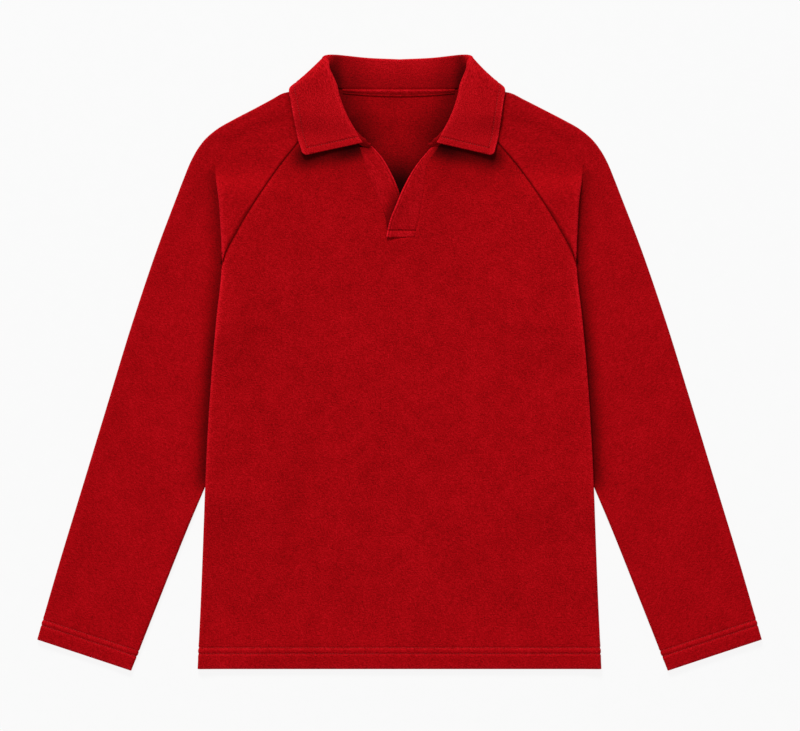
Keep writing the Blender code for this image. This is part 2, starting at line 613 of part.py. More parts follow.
def closed_path(row, side):
    """(distance, level) along one layer of the tube: flat part, turns of a flap and inner fold."""
    path = [flat_part(row, side)]
    low = FLOOR + LAYERS
    ending, heading = np.array([row.turn_at, low + row.end_swell]), np.array([1.0, 0.0])
    if row.turned > 0.02:
        turn = np.linspace(0.0, row.turned, TURN_STEPS)[1:]
        centre = np.array([row.turn_at, low + TURN])
        path.append(centre + (TURN - side * LAYERS) * np.stack([np.sin(turn), -np.cos(turn)], axis=-1))
        heading = np.array([np.cos(row.turned), np.sin(row.turned)])
        path.append(path[-1][-1] + heading * np.linspace(0.0, row.depth, DEPTH_STEPS)[1:, None])
        to_middle = TURN * np.array([np.sin(row.turned), -np.cos(row.turned)])
        ending = centre + to_middle + row.depth * heading
        if row.end_turned > 0.01:
            turn = np.linspace(row.turned, row.turned - row.end_turned, TURN_STEPS)[1:]
            arc = np.stack([-np.sin(turn), np.cos(turn)], axis=-1)
            centre = ending + to_middle
            path.append(centre + (TURN + side * LAYERS) * arc)
            ending = centre + TURN * arc[-1]
            heading = np.array([np.cos(turn[-1]), np.sin(turn[-1])])
    normal = np.array([-heading[1], heading[0]])
    turn = np.linspace(0.0, np.pi / 2, FOLD_STEPS)[1:]
    swell = LAYERS + row.end_swell
    path.append(ending + swell * (np.outer(np.sin(turn), heading) + side * np.outer(np.cos(turn), normal)))
    return np.concatenate(path)


def open_path(row, side):
    """(distance, level) along one layer of an open row: flat part, the pleat's turns and the way to the seam.

    Where the seam lies on the crest itself, the layer ends there. side is 1 in front and -1 behind.
    """
    flat, level_of, rest = flat_part(row, side), front_level if side > 0 else back_level, []
    if row.turned > 0:
        stages = np.zeros((3, 1))
        for stage, steps in enumerate((TURN_STEPS, DEPTH_STEPS, TURN_STEPS)):
            more = np.repeat(stages[:, -1:], steps - 1, axis=1)
            more[stage] = np.linspace(0.0, 1.0, steps)[1:]
            stages = np.concatenate([stages, more], axis=1)
        rest.append(pleat(row, side, *stages))
    if row.end > row.crest_at:
        across = np.linspace(row.crest_at, row.end, 40)[len(rest) :]
        rest.append(np.stack([across, level_of(*row.place(across).T)], axis=-1))
    rest = np.concatenate(rest)
    step = flat[-1, 1] - rest[0, 1]
    reach = min(SEAM_LEVEL_REACH, row.end - row.turn_at)
    rest[:, 1] += step * (1 - smooth(rest[:, 0] - row.turn_at, 0.0, reach))
    joined = np.concatenate([flat, rest])
    if row.end > row.crest_at:
        return joined
    apex = len(joined) - TURN_STEPS // 2
    return joined[: apex + 1 + int(np.argmax(joined[apex:, 0] >= row.end))]


def sample(path, count):
    """Points along a path, closer together where it bends."""
    apart = np.linalg.norm(np.diff(path, axis=0), axis=1) > 0.005
    path = path[np.append(True, apart)]
    steps = np.diff(path, axis=0)
    headings = np.unwrap(np.arctan2(steps[:, 1], steps[:, 0]))
    cost = np.linalg.norm(steps, axis=1) / LENGTH_A_COLUMN + np.abs(np.gradient(headings)) / BENDS_A_COLUMN
    weight = np.concatenate([[0.0], np.cumsum(cost)])
    places = np.linspace(0.0, weight[-1], count)
    return np.stack([np.interp(places, weight, column) for column in path.T], axis=-1)


def sample_row(path, row):
    """Points of a layer: some up to the split and the rest beyond it."""
    first = int(np.argmax(path[:, 0] >= row.split_at - 1e-6))
    head = sample(path[: first + 1], HEAD_COLUMNS)
    return np.concatenate([head, sample(path[first:], TAIL_COLUMNS + 1)[1:]])


def sleeve_grid():
    """Points of a sleeve, its grid of point numbers and the distance of each row from the cuff."""
    split = outer_split()
    points, index, up_from_cuff = [], [], []
    rows = [(part, True) for part in CLOSED_ROWS] + [(part, False) for part in SHOULDER_ROWS]
    for part, closed in rows:
        both = []
        for side, seam in ((-1, BACK_SEAM), (1, FRONT_SEAM)):
            row = closed_row(part, split) if closed else open_row(part, split, seam)
            path = closed_path(row, side) if closed else open_path(row, side)
            distance, height = sample_row(path, row).T
            both.append(np.concatenate([row.place(distance), height[:, None]], axis=-1))
        ring = np.concatenate([both[0][::-1], both[1][1:]])
        numbers = np.arange(len(ring)) + len(points)
        if closed:
            ring, numbers = ring[:-1], np.append(numbers[:-1], numbers[0])
        points.extend(ring)
        index.append(numbers)
        up_from_cuff.extend([(1 - part) * SLEEVE_LENGTH if closed else SLEEVE_LENGTH] * len(ring))
    return np.array(points), np.array(index), np.array(up_from_cuff)


def build_sleeve(name, side):
    """One sleeve. side is 1 at +X and -1 at -X."""
    points, index, up = sleeve_grid()
    faces = grid_faces(index)
    faces = faces if side < 0 else faces[:, ::-1]
    points = points * (side, 1, 1)
    band = HALF + HEM_EXTRA * smooth(up - CUFF_BAND, *BAND_END)
    add_wall(name, points, faces, HALF, band, SLEEVE_CLOTH)


# ---------------------------------------------------------------- collar

STAND_PARTS = (0.0, 0.5, 1.0)
FALL_PARTS = (0.0, 0.1, 0.35, 0.68, 1.0)
COLLAR_HALF = COLLAR_WALL / 2


def unit(vector):
    return vector / np.linalg.norm(vector)


FALL_RISE = 1.1  # how far the fall stands off the shirt at the roll
FALL_GAP = 0.4  # and all over
OVER_FOLD_OUT, OVER_FOLD_UP = (84.0, 104.0), (272.0, 300.0)  # where it climbs over the sleeve's outer fold
ROLL_ANGLES = (45.0, 90.0, 135.0)  # degrees round the roll at which its points lie


def fall_level(plan, part, share, tip):
    """Level of the fall: over the shirt in front, on the surface behind, by its share of the front."""
    sleeve = 2 * FOLD_SWELL * smooth(plan[:, 0], *OVER_FOLD_OUT) * smooth(plan[:, 1], *OVER_FOLD_UP)
    cloth = front_level(plan[:, 0], plan[:, 1]) + sleeve + HALF
    above = cloth + SEAM + COLLAR_HALF + FALL_RISE * (1 - part) ** 2 + FALL_GAP + tip * part**3
    return share * above + (1 - share) * COLLAR_HALF


def collar_section(neck, rim, edge, turn, tip):
    """Points across the collar, from the neck seam over the roll, whose rim is given, to the outer edge."""
    lean = turn * np.pi / 2
    share = (1 + np.sin(lean)) / 2
    onward = unit(rim - neck)
    fold = rim - (COLLAR_FOLD + COLLAR_HALF) * onward
    across = unit(edge - fold)
    over = np.append(across * np.cos(lean), np.sin(lean))
    fall_start = fold + COLLAR_FOLD * over[:2]
    part = np.array(FALL_PARTS)
    plan = fall_start + (edge - fall_start) * part[:, None]
    fall = np.column_stack([plan, fall_level(plan, part, share, tip)])
    middle = np.append(fold, fall[0, 2] - COLLAR_FOLD * over[2])
    stand_end = middle - COLLAR_FOLD * over
    neck_front = front_level(neck[0], neck[1])
    neck_level = share * neck_front + (1 - share) * (COLLAR_HALF + 2 * COLLAR_FOLD)
    part = np.array(STAND_PARTS)[:, None]
    stand = np.append(neck, neck_level) * (1 - part) + stand_end * part
    angles = np.radians(ROLL_ANGLES)[:, None]
    roll = middle + COLLAR_FOLD * (-np.cos(angles) * over + np.sin(angles) * np.append(onward, 0.0))
    return np.concatenate([stand, roll, fall])


def collar_places():
    """Row numbers, with parts of them, at which the collar's sections lie."""
    places = [row + np.arange(steps) / steps for row, (*_, steps) in enumerate(COLLAR) if steps]
    return np.append(np.concatenate(places), len(COLLAR) - 1)


def build_collar():
    knots = np.array([np.concatenate(row[:3]) for row in COLLAR])
    turns = np.array([row[3] for row in COLLAR])
    rows, places = np.arange(len(COLLAR)), collar_places()
    tips = TIP_LIFT * (1 - smooth(places, 0.0, TIP_ROWS))
    half = np.array([
        collar_section(row[:2], row[2:4], row[4:], turn, tip)
        for row, turn, tip in zip(through(rows, knots, places), through(rows, turns, places).clip(-1, 1), tips)
    ])  # fmt: skip
    right = half * (-1, 1, 1)
    grid = np.concatenate([right, half[::-1][1:]])
    points = grid.reshape(-1, 3)
    index = np.arange(len(points)).reshape(grid.shape[:2])
    add_wall("collar", points, grid_faces(index)[:, ::-1], COLLAR_HALF, COLLAR_HALF, COLLAR_CLOTH)


# ---------------------------------------------------------------- placket and neck tape


def strip(name, sewn, free, drop, power, columns):
    """A placket strip between its sewn and its free edge. drop gives how far the free edge lies under the front."""
    parts = SLOT_PARTS.clip(*STRIP_ENDS)
    seam, loose = along(sewn, parts), along(free, SLOT_PARTS)
    across = np.linspace(0.0, 1.0, columns)
    plan = seam[:, None] + (loose - seam)[:, None] * across[:, None]
    level = front_level(np.abs(seam[:, 0]), seam[:, 1])
    height = level[:, None] - np.outer(drop(SLOT_PARTS), across**power)
    points = np.concatenate([plan, height[..., None]], axis=-1).reshape(-1, 3)
    index = np.arange(len(points)).reshape(height.shape)
    faces = grid_faces(index)
    if point_normals(points, faces)[:, 2].mean() < 0:
        faces = faces[:, ::-1]
    add_wall(name, points, faces, STRIP_WALL / 2, STRIP_WALL / 2, STRIP_CLOTH)


def inset(edge, by):
    """A slot edge moved across into the slot."""
    return tuple((across + by, height) for across, height in edge)


def under_drop(part):
    """The free edge lies under the front, a little deeper towards the neck."""
    low, high = UNDER_DROP
    return low + (high - low) * part


def over_drop(part):
    """The free edge lies on the other strip at the bottom and rolls down into the opening further up."""
    low, high = OVER_DROP
    return low + (high - low) * smooth(part, *OVER_DROP_PARTS)


def build_placket():
    strip("placket_under", inset(SLOT_RIGHT, SEAM), UNDER_FREE, under_drop, 1.0, 5)
    strip("placket_over", inset(SLOT_LEFT, -SEAM), OVER_FREE, over_drop, 2.0, 6)


def build_tape():
    across = np.linspace(-TAPE_HALF_WIDTH, TAPE_HALF_WIDTH, 21)
    drop = TAPE_DROP[1] + (TAPE_DROP[0] - TAPE_DROP[1]) * (across / TAPE_HALF_WIDTH) ** 2
    down = np.array([0.0, 0.5, 1.0])[:, None]
    height = TAPE_TOP_Y - down * drop
    out = np.broadcast_to(across, height.shape)
    level = back_level(np.abs(out), height) + HALF + SEAM + TAPE_WALL / 2
    points = np.stack([out, height, level], axis=-1).reshape(-1, 3)
    index = np.arange(len(points)).reshape(height.shape)
    add_wall("neck_tape", points, grid_faces(index)[:, ::-1], TAPE_WALL / 2, TAPE_WALL / 2, TAPE_CLOTH)


def main():
    for old in list(bpy.data.objects):
        bpy.data.objects.remove(old, do_unlink=True)
    build_back()
    build_front()
    build_sleeve("sleeve_right", -1)
    build_sleeve("sleeve_left", 1)
    build_collar()
    build_placket()
    build_tape()


main()
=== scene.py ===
"""Looks of a long-sleeved polo shirt in brushed red cloth, laid flat on its back with the front up.

The shirt's length runs along +Y towards the collar, and +Z is up, away from the floor that it lies on. Sizes are in
millimetres and become metres in ClothMesh. A half of the shirt is worked out in (out, up) coordinates, out being the
distance from the middle line, and the wearer's right sleeve lies at -X.
"""

from __future__ import annotations

import logging
from dataclasses import dataclass, field
from enum import Enum
from functools import cached_property

import bpy
import numpy as np
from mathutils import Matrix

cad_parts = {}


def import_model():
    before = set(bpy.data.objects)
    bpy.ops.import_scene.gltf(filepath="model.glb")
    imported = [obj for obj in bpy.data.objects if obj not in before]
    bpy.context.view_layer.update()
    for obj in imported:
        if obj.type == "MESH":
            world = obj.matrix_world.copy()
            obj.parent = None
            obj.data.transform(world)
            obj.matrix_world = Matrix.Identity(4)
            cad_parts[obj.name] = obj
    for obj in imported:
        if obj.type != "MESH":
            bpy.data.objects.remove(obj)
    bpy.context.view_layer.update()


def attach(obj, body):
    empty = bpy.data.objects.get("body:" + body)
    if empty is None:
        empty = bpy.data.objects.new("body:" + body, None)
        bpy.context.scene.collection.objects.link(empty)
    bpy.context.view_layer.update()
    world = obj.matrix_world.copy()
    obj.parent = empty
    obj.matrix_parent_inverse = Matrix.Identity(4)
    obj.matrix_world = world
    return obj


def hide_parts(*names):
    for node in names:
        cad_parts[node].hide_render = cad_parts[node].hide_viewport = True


log = logging.getLogger("polo_shirt")
Array = np.ndarray
Value = Array | float
Lines = list[tuple[Array, Array]]  # points and normals of each line
Pair = tuple[float, float]
Points = tuple[Pair, ...]
Bands = tuple[tuple[float, float, float], ...]  # strength, place and width of each bell
Finish = bpy.types.Material
Piece = bpy.types.Object

MM = 0.001
SEAM = 0.3  # gap between two pieces that are sewn together
RIM = 0.25  # how far the rim of the panels and the sleeves stands out
FAR = 99.0  # distance of points that a line doesn't concern
TINY = 1e-12
# Limits of the painted light and shade
PAINTED_LIGHT_RANGE = (0.05, 1.6)
BESIDE_STITCHES = (0.8, 1.6, 2.8)  # distances from a line of stitches at which a mesh has more rows
# How far the side at +X lies further in than the other one, by the height: (height, distance)
NECK_OFFSET = (
    (-367.0, 0.0), (60.0, 0.6), (200.0, 2.2), (249.0, 2.9), (266.0, 3.8), (292.0, 4.9), (325.0, 5.8), (372.0, 5.4),
)  # fmt: skip
OFFSET_OUT = (40.0, 115.0)  # where it sets in, from the middle line outwards
OFFSET_PAST = (130.0, 175.0)  # where it fades again, by this part
OFFSET_LOSS = 0.42


# ---------------------------------------------------------------- curves


def ease(value: Value, start: float, end: float) -> Array:
    """Soft step: 0 before start, 1 after end and 3t^2 - 2t^3 between them. The end may lie below the start.

    Args:
        value: Where to evaluate the step.
        start: Place at which the step leaves 0.
        end: Place at which it reaches 1.

    Returns:
        The step's height at each value.
    """
    part = np.clip((np.asarray(value, float) - start) / (end - start), 0.0, 1.0)
    return part * part * (3 - 2 * part)


def bell(distance: Array, width: float) -> Array:
    """Gaussian hump exp(-(d/w)^2) of a distance."""
    return np.exp(-((distance / width) ** 2))


def bands(distance: Array, rows: Bands) -> Array:
    """Sum of bells over a distance, each with its strength, its place and its width."""
    return sum(strength * bell(distance - place, width) for strength, place, width in rows)


def curve_through(knots: Array, values: Array, at: Array) -> Array:
    """Cubic Hermite curve through values at increasing knots, with central differences as its slopes.

    Args:
        knots: Increasing parameters.
        values: One row for each knot.
        at: Parameters to evaluate.

    Returns:
        The curve's values at each parameter.
    """
    knots, values, at = (np.asarray(item, float) for item in (knots, values, at))
    steps = np.diff(knots)
    slopes = np.diff(values, axis=0) / steps.reshape((-1,) + (1,) * (values.ndim - 1))
    tangents = np.gradient(values, knots, axis=0)
    tangents[0], tangents[-1] = slopes[0], slopes[-1]
    span = np.clip(np.searchsorted(knots, at, side="right") - 1, 0, len(steps) - 1)
    part, step = np.clip((at - knots[span]) / steps[span], 0.0, 1.0), steps[span]
    if values.ndim > 1:
        part, step = part[..., None], step[..., None]
    square, cube = part**2, part**3
    return (
        (2 * cube - 3 * square + 1) * values[span]
        + (cube - 2 * square + part) * step * tangents[span]
        + (3 * square - 2 * cube) * values[span + 1]
        + (cube - square) * step * tangents[span + 1]
    )


def arc_lengths(points: Array) -> Array:
    """Distance along a row of points, starting at 0."""
    return np.concatenate([[0.0], np.cumsum(np.linalg.norm(np.diff(points, axis=0), axis=1))])


def dense_curve(points: Points | Array) -> tuple[Array, Array]:
    """Many points on the smooth curve through points, and their distance along it."""
    points = np.asarray(points, float)
    chords = arc_lengths(points)
    curve = curve_through(chords, points, np.linspace(0.0, chords[-1], 900))
    return curve, arc_lengths(curve)


def interpolated(at: Value, knots: Array, rows: Array) -> Array:
    """Rows at these places, in straight lines between the rows that belong to increasing knots."""
    return np.stack([np.interp(at, knots, column) for column in rows.T], axis=-1)


def points_along(points: Points | Array, parts: Value) -> Array:
    """Points on the smooth curve through points, at these parts of its length."""
    curve, lengths = dense_curve(points)
    return interpolated(np.asarray(parts, float) * lengths[-1], lengths, curve)


def unit(vectors: Array) -> Array:
    """The vectors at length 1."""
    return vectors / np.maximum(np.linalg.norm(vectors, axis=-1, keepdims=True), TINY)


def turned_left(vectors: Array) -> Array:
    """Plane vectors after a quarter turn to the left."""
    return np.stack([-vectors[..., 1], vectors[..., 0]], axis=-1)


def on_half(plan: Array) -> Array:
    """(out, up) of places (across, up)."""
    return np.stack([np.abs(plan[..., 0]), plan[..., 1]], axis=-1)


def settled(points: Array) -> Array:
    """Points with the neck and the shoulder at +X a little further in, as the shirt lies: not quite symmetric."""
    across, up = points[:, 0], points[:, 1]
    share = ease(across, *OFFSET_OUT) * (1 - OFFSET_LOSS * ease(across, *OFFSET_PAST))
    moved = points.copy()
    moved[:, 0] -= share * curve_through(*np.array(NECK_OFFSET).T, up)
    return moved


def distance_to(line: Array, places: Array) -> Array:
    """Shortest distance in plan from each place to a polyline, by projection on all its segments."""
    flat = places.reshape(-1, 2)
    start, step = line[:-1], np.diff(line, axis=0)
    squares = np.maximum((step**2).sum(axis=1), TINY)
    part = np.clip(((flat[:, None] - start) * step).sum(axis=2) / squares, 0.0, 1.0)
    nearest = start + step * part[..., None]
    return np.linalg.norm(flat[:, None] - nearest, axis=2).min(axis=1).reshape(places.shape[:-1])


def finer_near(
    low: float, high: float, step: float, lines: tuple[float, ...], offsets: tuple[float, ...] = BESIDE_STITCHES
) -> Array:
    """Grid places from low to high, evenly spaced, with more of them beside each stitched line.

    Args:
        low: First place.
        high: Last place.
        step: Spacing away from the lines.
        lines: Places of the stitched lines.
        offsets: Distances from a line, each way, at which a place is added.

    Returns:
        Sorted places that keep clear of one another.
    """
    beside = [line + sign * offset for line in lines for offset in offsets for sign in (-1, 1)] + list(lines)
    beside = np.array([place for place in beside if low < place < high])
    even = np.linspace(low, high, max(2, int(round((high - low) / step)) + 1))
    if len(beside):
        clear = np.abs(even[:, None] - beside).min(axis=1) > 0.45 * step
        clear[[0, -1]] = True
        even = even[clear]
    return np.unique(np.round(np.concatenate([even, beside]), 5))


# ---------------------------------------------------------------- the shirt's form


@dataclass(frozen=True)
class Crease:
    """A soft ridge or trough in plan, (across, up): height along its line, fading towards its ends."""

    start: Pair
    end: Pair
    width: float
    height: float

    def level(self, places: Array) -> Array:
        """Height of the crease at these places: a bell across it and a flat-topped hump along it."""
        start, step = np.array(self.start), np.array(self.end) - np.array(self.start)
        length = np.linalg.norm(step)
        along = ((places - start) @ step) / length**2
        across = ((places - start) @ turned_left(step)) / length
        middle = np.clip(2 * along - 1, -1.6, 1.6)
        return self.height * bell(across, self.width) * np.exp(-1.6 * middle**4)


def relief(creases: tuple[Crease, ...], places: Array) -> Array:
    """Height of all the creases together at these places."""
    return sum((crease.level(places) for crease in creases), np.zeros(places.shape[:-1]))


@dataclass(frozen=True)
class ShirtForm:
    """Outlines and levels that all pieces share. Levels are those of the cloth's middle surface over the floor."""

    half_wall: float = 0.8
    layers: float = 1.25  # half the distance between the front and the back layer
    turn: float = 2.5  # radius of the pleat's turns
    sleeve_lift: float = 5.2
    neck_rise: float = 3.4
    neck_up: Pair = (268.0, 303.0)
    neck_out: Pair = (166.0, 134.0)
    opening_lift: float = 4.4
    opening_middle: float = 243.0
    opening_reach: Pair = (78.0, 88.0)
    edge_swell: float = 1.1
    swell_under_armpit: Pair = (15.0, 75.0)
    swell_inward: Pair = (2.0, 28.0)
    hem_y: float = -367.6
    hem_gap: float = 0.9
    hem_gap_up: Pair = (80.0, 22.0)
    armpit_y: float = 117.6
    armpit_inset_top: float = 170.0
    crest_top_y: float = 246.0
    crest_full_y: float = 190.0
    flap_end_y: Pair = (52.0, -25.0)
    sleeve_out_y: Pair = (-152.0, -225.0)
    over_sleeve: Pair = (24.0, 135.0)
    seam_opening: float = 0.5  # how much the raglan seam opens over the crest
    seam_opening_y: Pair = (152.0, 122.0)
    body_edge: Points = (
        (-367.6, 242.5), (-284.0, 238.6), (-188.0, 234.8), (-97.0, 231.0), (-13.0, 225.6),
        (54.0, 219.6), (117.6, 213.4), (165.0, 215.0), (205.0, 218.4), (246.0, 227.4),
    )  # fmt: skip
    front_seam: Points = (
        (213.4, 117.6), (212.0, 124.1), (196.2, 156.0), (170.8, 198.1), (145.6, 235.2), (122.3, 264.7),
        (101.0, 291.0), (83.4, 312.0),
    )  # fmt: skip
    back_seam: Points = front_seam[:5] + ((119.4, 270.0), (95.4, 303.0), (76.8, 329.5))

    @property
    def floor(self) -> float:
        """Middle of a layer that lies on the floor."""
        return self.half_wall

    @property
    def crest_inset(self) -> float:
        """Distance from the body's edge to the middle of the crest's turn."""
        return self.half_wall + self.layers + self.turn

    def edge_at(self, height: Value) -> Array:
        """Half width of the body, or of the pleat's crest, at this height."""
        table = np.array(self.body_edge)
        return curve_through(table[:, 0], table[:, 1], height)

    def crest_edge(self, height: Value, over: float = 0.0) -> Array:
        """Half width as far as the crest runs: the same at all heights past its ends."""
        return self.edge_at(np.clip(height, self.hem_y, self.crest_top_y + over))

    def armpit_inset(self, height: Value) -> Array:
        """How much further in the raglan seam lies where it nears the side seam."""
        return self.half_wall * ease(height, self.armpit_inset_top, self.armpit_y)

    def crest_lift(self, height: Value) -> Array:
        """Lift of the body's edge over the layers of sleeve under it."""
        full = 4 * self.turn
        rise = full * (1 - np.cos(np.pi * ease(height, self.crest_top_y, self.crest_full_y))) / 2
        off_pleat, off_sleeve = ease(height, *self.flap_end_y), ease(height, *self.sleeve_out_y)
        return rise - (full - self.sleeve_lift) * off_pleat - self.sleeve_lift * off_sleeve

    def pleat_angle(self, height: Value) -> Array:
        """Angle of the pleat's two turns, which together lift the crest."""
        return np.arccos(np.clip(1 - self.crest_lift(height) / (2 * self.turn), -1.0, 1.0))

    def neck_lift(self, out: Value, height: Value) -> Array:
        """Lift of the back layer over the collar's back fall."""
        return self.neck_rise * ease(height, *self.neck_up) * ease(out, *self.neck_out)

    def back_level(self, out: Value, height: Value) -> Array:
        """Middle of the back layer."""
        inward = self.edge_at(np.minimum(height, self.crest_top_y)) - out
        over = 1 - ease(inward, *self.over_sleeve)
        return self.floor + self.crest_lift(height) * over + self.neck_lift(out, height)

    def half_space(self, out: Value, height: Value) -> Array:
        """Half the distance between the layers: more at the side folds, at the hem and round the neck opening."""
        inward = self.edge_at(np.minimum(height, self.armpit_y)) - out
        swell = ease(self.armpit_y - height, *self.swell_under_armpit) * (1 - ease(inward, *self.swell_inward))
        across, up = out / self.opening_reach[0], (height - self.opening_middle) / self.opening_reach[1]
        opening = self.opening_lift * np.exp(-(across**2) - up**2)
        at_hem = self.hem_gap * ease(height - self.hem_y, *self.hem_gap_up)
        return self.layers + self.edge_swell * swell + opening + at_hem

    def front_level(self, out: Value, height: Value) -> Array:
        """Middle of the front layer."""
        return self.back_level(out, height) + 2 * self.half_space(out, height)

    def side_seam_level(self, height: Array) -> Array:
        """Height of the side seam: on the pleat's crest at the armpit, in the middle of the fold lower down."""
        edge = self.edge_at(height) - self.half_wall
        middle = self.back_level(edge, height) + self.half_space(edge, height)
        crest = self.front_level(edge, height) - self.turn - self.layers + 0.4
        return middle + (crest - middle) * ease(height, self.armpit_y - 16, self.armpit_y - 1)

    def seam_gap(self, height: Value) -> Array:
        """Half the gap at the raglan seam. It opens a little where the seam runs over the crest."""
        return SEAM / 2 + self.seam_opening * ease(height, *self.seam_opening_y)


# ---------------------------------------------------------------- meshes


@dataclass
class ClothMesh:
    """A closed wall of cloth round its middle surface, with a rounded rim and the cloth's own coordinates as UV.

    The outer wall lies `front` before the surface along its normal and the inner wall `back` behind it.
    """

    points: Array  # n x 3
    faces: Array  # m x 4
    flat: Array  # n x 2, place in the flat cloth
    front: Array
    back: Array
    normals: Array | None = None
    tone: Value = 1.0  # painted light on the outer side: under 1 where shade is painted, over 1 where light is painted
    # painted shade on the inner side, and painted light on the rim:
    inner_painted_light: Value = 0.85
    rim_painted_light: float = 1.35
    steep_painted_light: float = 0.45  # painted light: how much lighter the cloth is painted where it stands upright
    rim: float = 0.3  # how far the rim stands out
    ring_angles: tuple[float, ...] = (40.0, 90.0, 140.0)

    def __post_init__(self) -> None:
        """Drops unused points and works out the normals where none are given."""
        used = np.unique(self.faces)
        renumber = np.zeros(len(self.points), int)
        renumber[used] = np.arange(len(used))
        count = len(self.points)
        if self.normals is None:
            self.normals = surface_normals(self.points, self.faces)
        for name in ("front", "back", "tone", "inner_painted_light"):
            values = np.asarray(getattr(self, name), float)
            setattr(self, name, np.broadcast_to(values.ravel() if values.ndim else values, count)[used])
        self.points, self.flat, self.normals = self.points[used], self.flat[used], self.normals[used]
        self.faces = renumber[self.faces]

    def outward(self) -> tuple[Array, Array, Array]:
        """Boundary edges, the boundary's points and the direction in which each looks away from the cloth."""
        edges = np.concatenate([self.faces[:, [i, (i + 1) % 4]] for i in range(4)])
        count = len(self.points)
        edges = edges[~np.isin(edges[:, 0] * count + edges[:, 1], edges[:, 1] * count + edges[:, 0])]
        along = self.points[edges[:, 1]] - self.points[edges[:, 0]]
        away = np.zeros_like(self.points)
        for corner in (0, 1):
            np.add.at(away, edges[:, corner], np.cross(along, self.normals[edges[:, corner]]))
        on_rim = np.unique(edges)
        return edges, on_rim, unit(away[on_rim])

    def build(self, name: str, material: Finish) -> Piece:
        """Makes the object: both walls and rings of a half ellipse between them round the rim.

        Args:
            name: Name of the piece.
            material: Its finish.

        Returns:
            The object, with its place in its mesh.
        """
        count = len(self.points)
        edges, on_rim, away = self.outward()
        middle = (self.points + self.normals * ((self.front - self.back) / 2)[:, None])[on_rim]
        half = ((self.front + self.back) / 2)[on_rim][:, None]
        parts = [self.points + self.normals * self.front[:, None], self.points - self.normals * self.back[:, None]]
        for angle in np.radians(self.ring_angles):
            parts.append(middle + half * np.cos(angle) * self.normals[on_rim] + self.rim * np.sin(angle) * away)
        place = np.zeros(count, int)
        place[on_rim] = np.arange(len(on_rim))
        first, second = edges[:, 0], edges[:, 1]
        rings = [(first, second)]
        for ring in range(len(self.ring_angles)):
            start = 2 * count + ring * len(on_rim)
            rings.append((start + place[first], start + place[second]))
        rings.append((first + count, second + count))
        quads = [self.faces, self.faces[:, ::-1] + count]
        for (a, b), (c, d) in zip(rings[:-1], rings[1:]):
            quads.append(np.stack([b, a, c, d], axis=-1))
        flat = np.concatenate([self.flat, self.flat] + [self.flat[on_rim]] * len(self.ring_angles))
        # Painted light on upright faces and on the rim, painted shade on the inner side
        steep = 1 + self.steep_painted_light * (1 - np.abs(self.normals[:, 2])) ** 2
        ring_painted_lights = [self.tone[on_rim] * self.rim_painted_light] * len(self.ring_angles)
        painted_lights = np.concatenate([self.tone * steep, self.inner_painted_light] + ring_painted_lights)
        return mesh_object(name, settled(np.concatenate(parts)), np.concatenate(quads), flat, material, painted_lights)


def surface_normals(points: Array, faces: Array) -> Array:
    """Unit normals of a quad surface at its points: the area-weighted mean of its faces' normals."""
    corners = points[faces]
    each = np.cross(corners[:, 2] - corners[:, 0], corners[:, 3] - corners[:, 1])
    normals = np.zeros_like(points)
    for corner in range(4):
        np.add.at(normals, faces[:, corner], each)
    return unit(normals)


def grid_faces(index: Array, keep: Array | None = None) -> Array:
    """Quads of a grid of point numbers, facing up where the columns run right and the rows run up."""
    quads = np.stack([index[:-1, :-1], index[:-1, 1:], index[1:, 1:], index[1:, :-1]], axis=-1)
    return quads.reshape(-1, 4) if keep is None else quads[keep]


def grid_surface(plan: Array, level: Array, keep: Array | None = None) -> tuple[Array, Array]:
    """Points and quads of a grid of places with their levels."""
    points = np.concatenate([plan, level[..., None]], axis=-1).reshape(-1, 3)
    return points, grid_faces(np.arange(len(points)).reshape(level.shape), keep)


def mesh_object(
    name: str,
    points: Array,
    faces: Array,
    flat: Array,
    material: Finish,
    painted_lights: Value = 1.0,
    smooth: bool = True,
) -> Piece:
    """Puts whole arrays into a mesh.

    Args:
        name: Name of the piece.
        points: Places in millimetres.
        faces: Quads of point numbers.
        flat: Place of each point in the flat cloth, which becomes the UV map in metres.
        material: The piece's finish.
        painted_lights: Painted light and shade at each point.
        smooth: Whether the faces are shaded smooth.

    Returns:
        The object, linked to the scene.
    """
    mesh = bpy.data.meshes.new(name)
    above_floor = np.column_stack([points[:, :2], np.maximum(points[:, 2], 0.0)])
    mesh.from_pydata((above_floor * MM).tolist(), [], faces.tolist())
    uv = mesh.uv_layers.new(name="cloth")
    uv.data.foreach_set("uv", (flat[faces.ravel()] * MM).astype(np.float32).ravel())
    # The painted light and shade go into a point attribute
    nap_and_painted_light = mesh.attributes.new("tone", "FLOAT", "POINT")
    nap_and_painted_light.data.foreach_set("value", np.broadcast_to(painted_lights, len(points)).astype(np.float32))
    mesh.materials.append(material)
    if smooth:
        mesh.shade_smooth()
    made = bpy.data.objects.new(name, mesh)
    bpy.context.scene.collection.objects.link(made)
    return made


# ---------------------------------------------------------------- shader expressions


class Signal:
    """A shader socket. Its operators add Math nodes, so a formula on signals reads as a formula."""

    def __init__(self, tree: "ClothTree", socket: bpy.types.NodeSocket) -> None:
        """Wraps a socket of a tree."""
        self.tree, self.socket = tree, socket

    def _math(self, operation: str, other: "Signal | float") -> "Signal":
        """Adds one Math node on this signal and another value."""
        return self.tree.node("ShaderNodeMath", {"operation": operation}, {0: self, 1: other})

    def __add__(self, other: "Signal | float") -> "Signal":
        """Sum of two signals."""
        return self._math("ADD", other)

    def __sub__(self, other: "Signal | float") -> "Signal":
        """Difference of two signals."""
        return self._math("SUBTRACT", other)

    def __mul__(self, other: "Signal | float") -> "Signal":
        """Product of two signals."""
        return self._math("MULTIPLY", other)

    def between(self, low: float, high: float) -> "Signal":
        """0 below low, 1 above high, smooth between them."""
        settings = {"interpolation_type": "SMOOTHSTEP"}
        return self.tree.node("ShaderNodeMapRange", settings, {"Value": self, "From Min": low, "From Max": high})


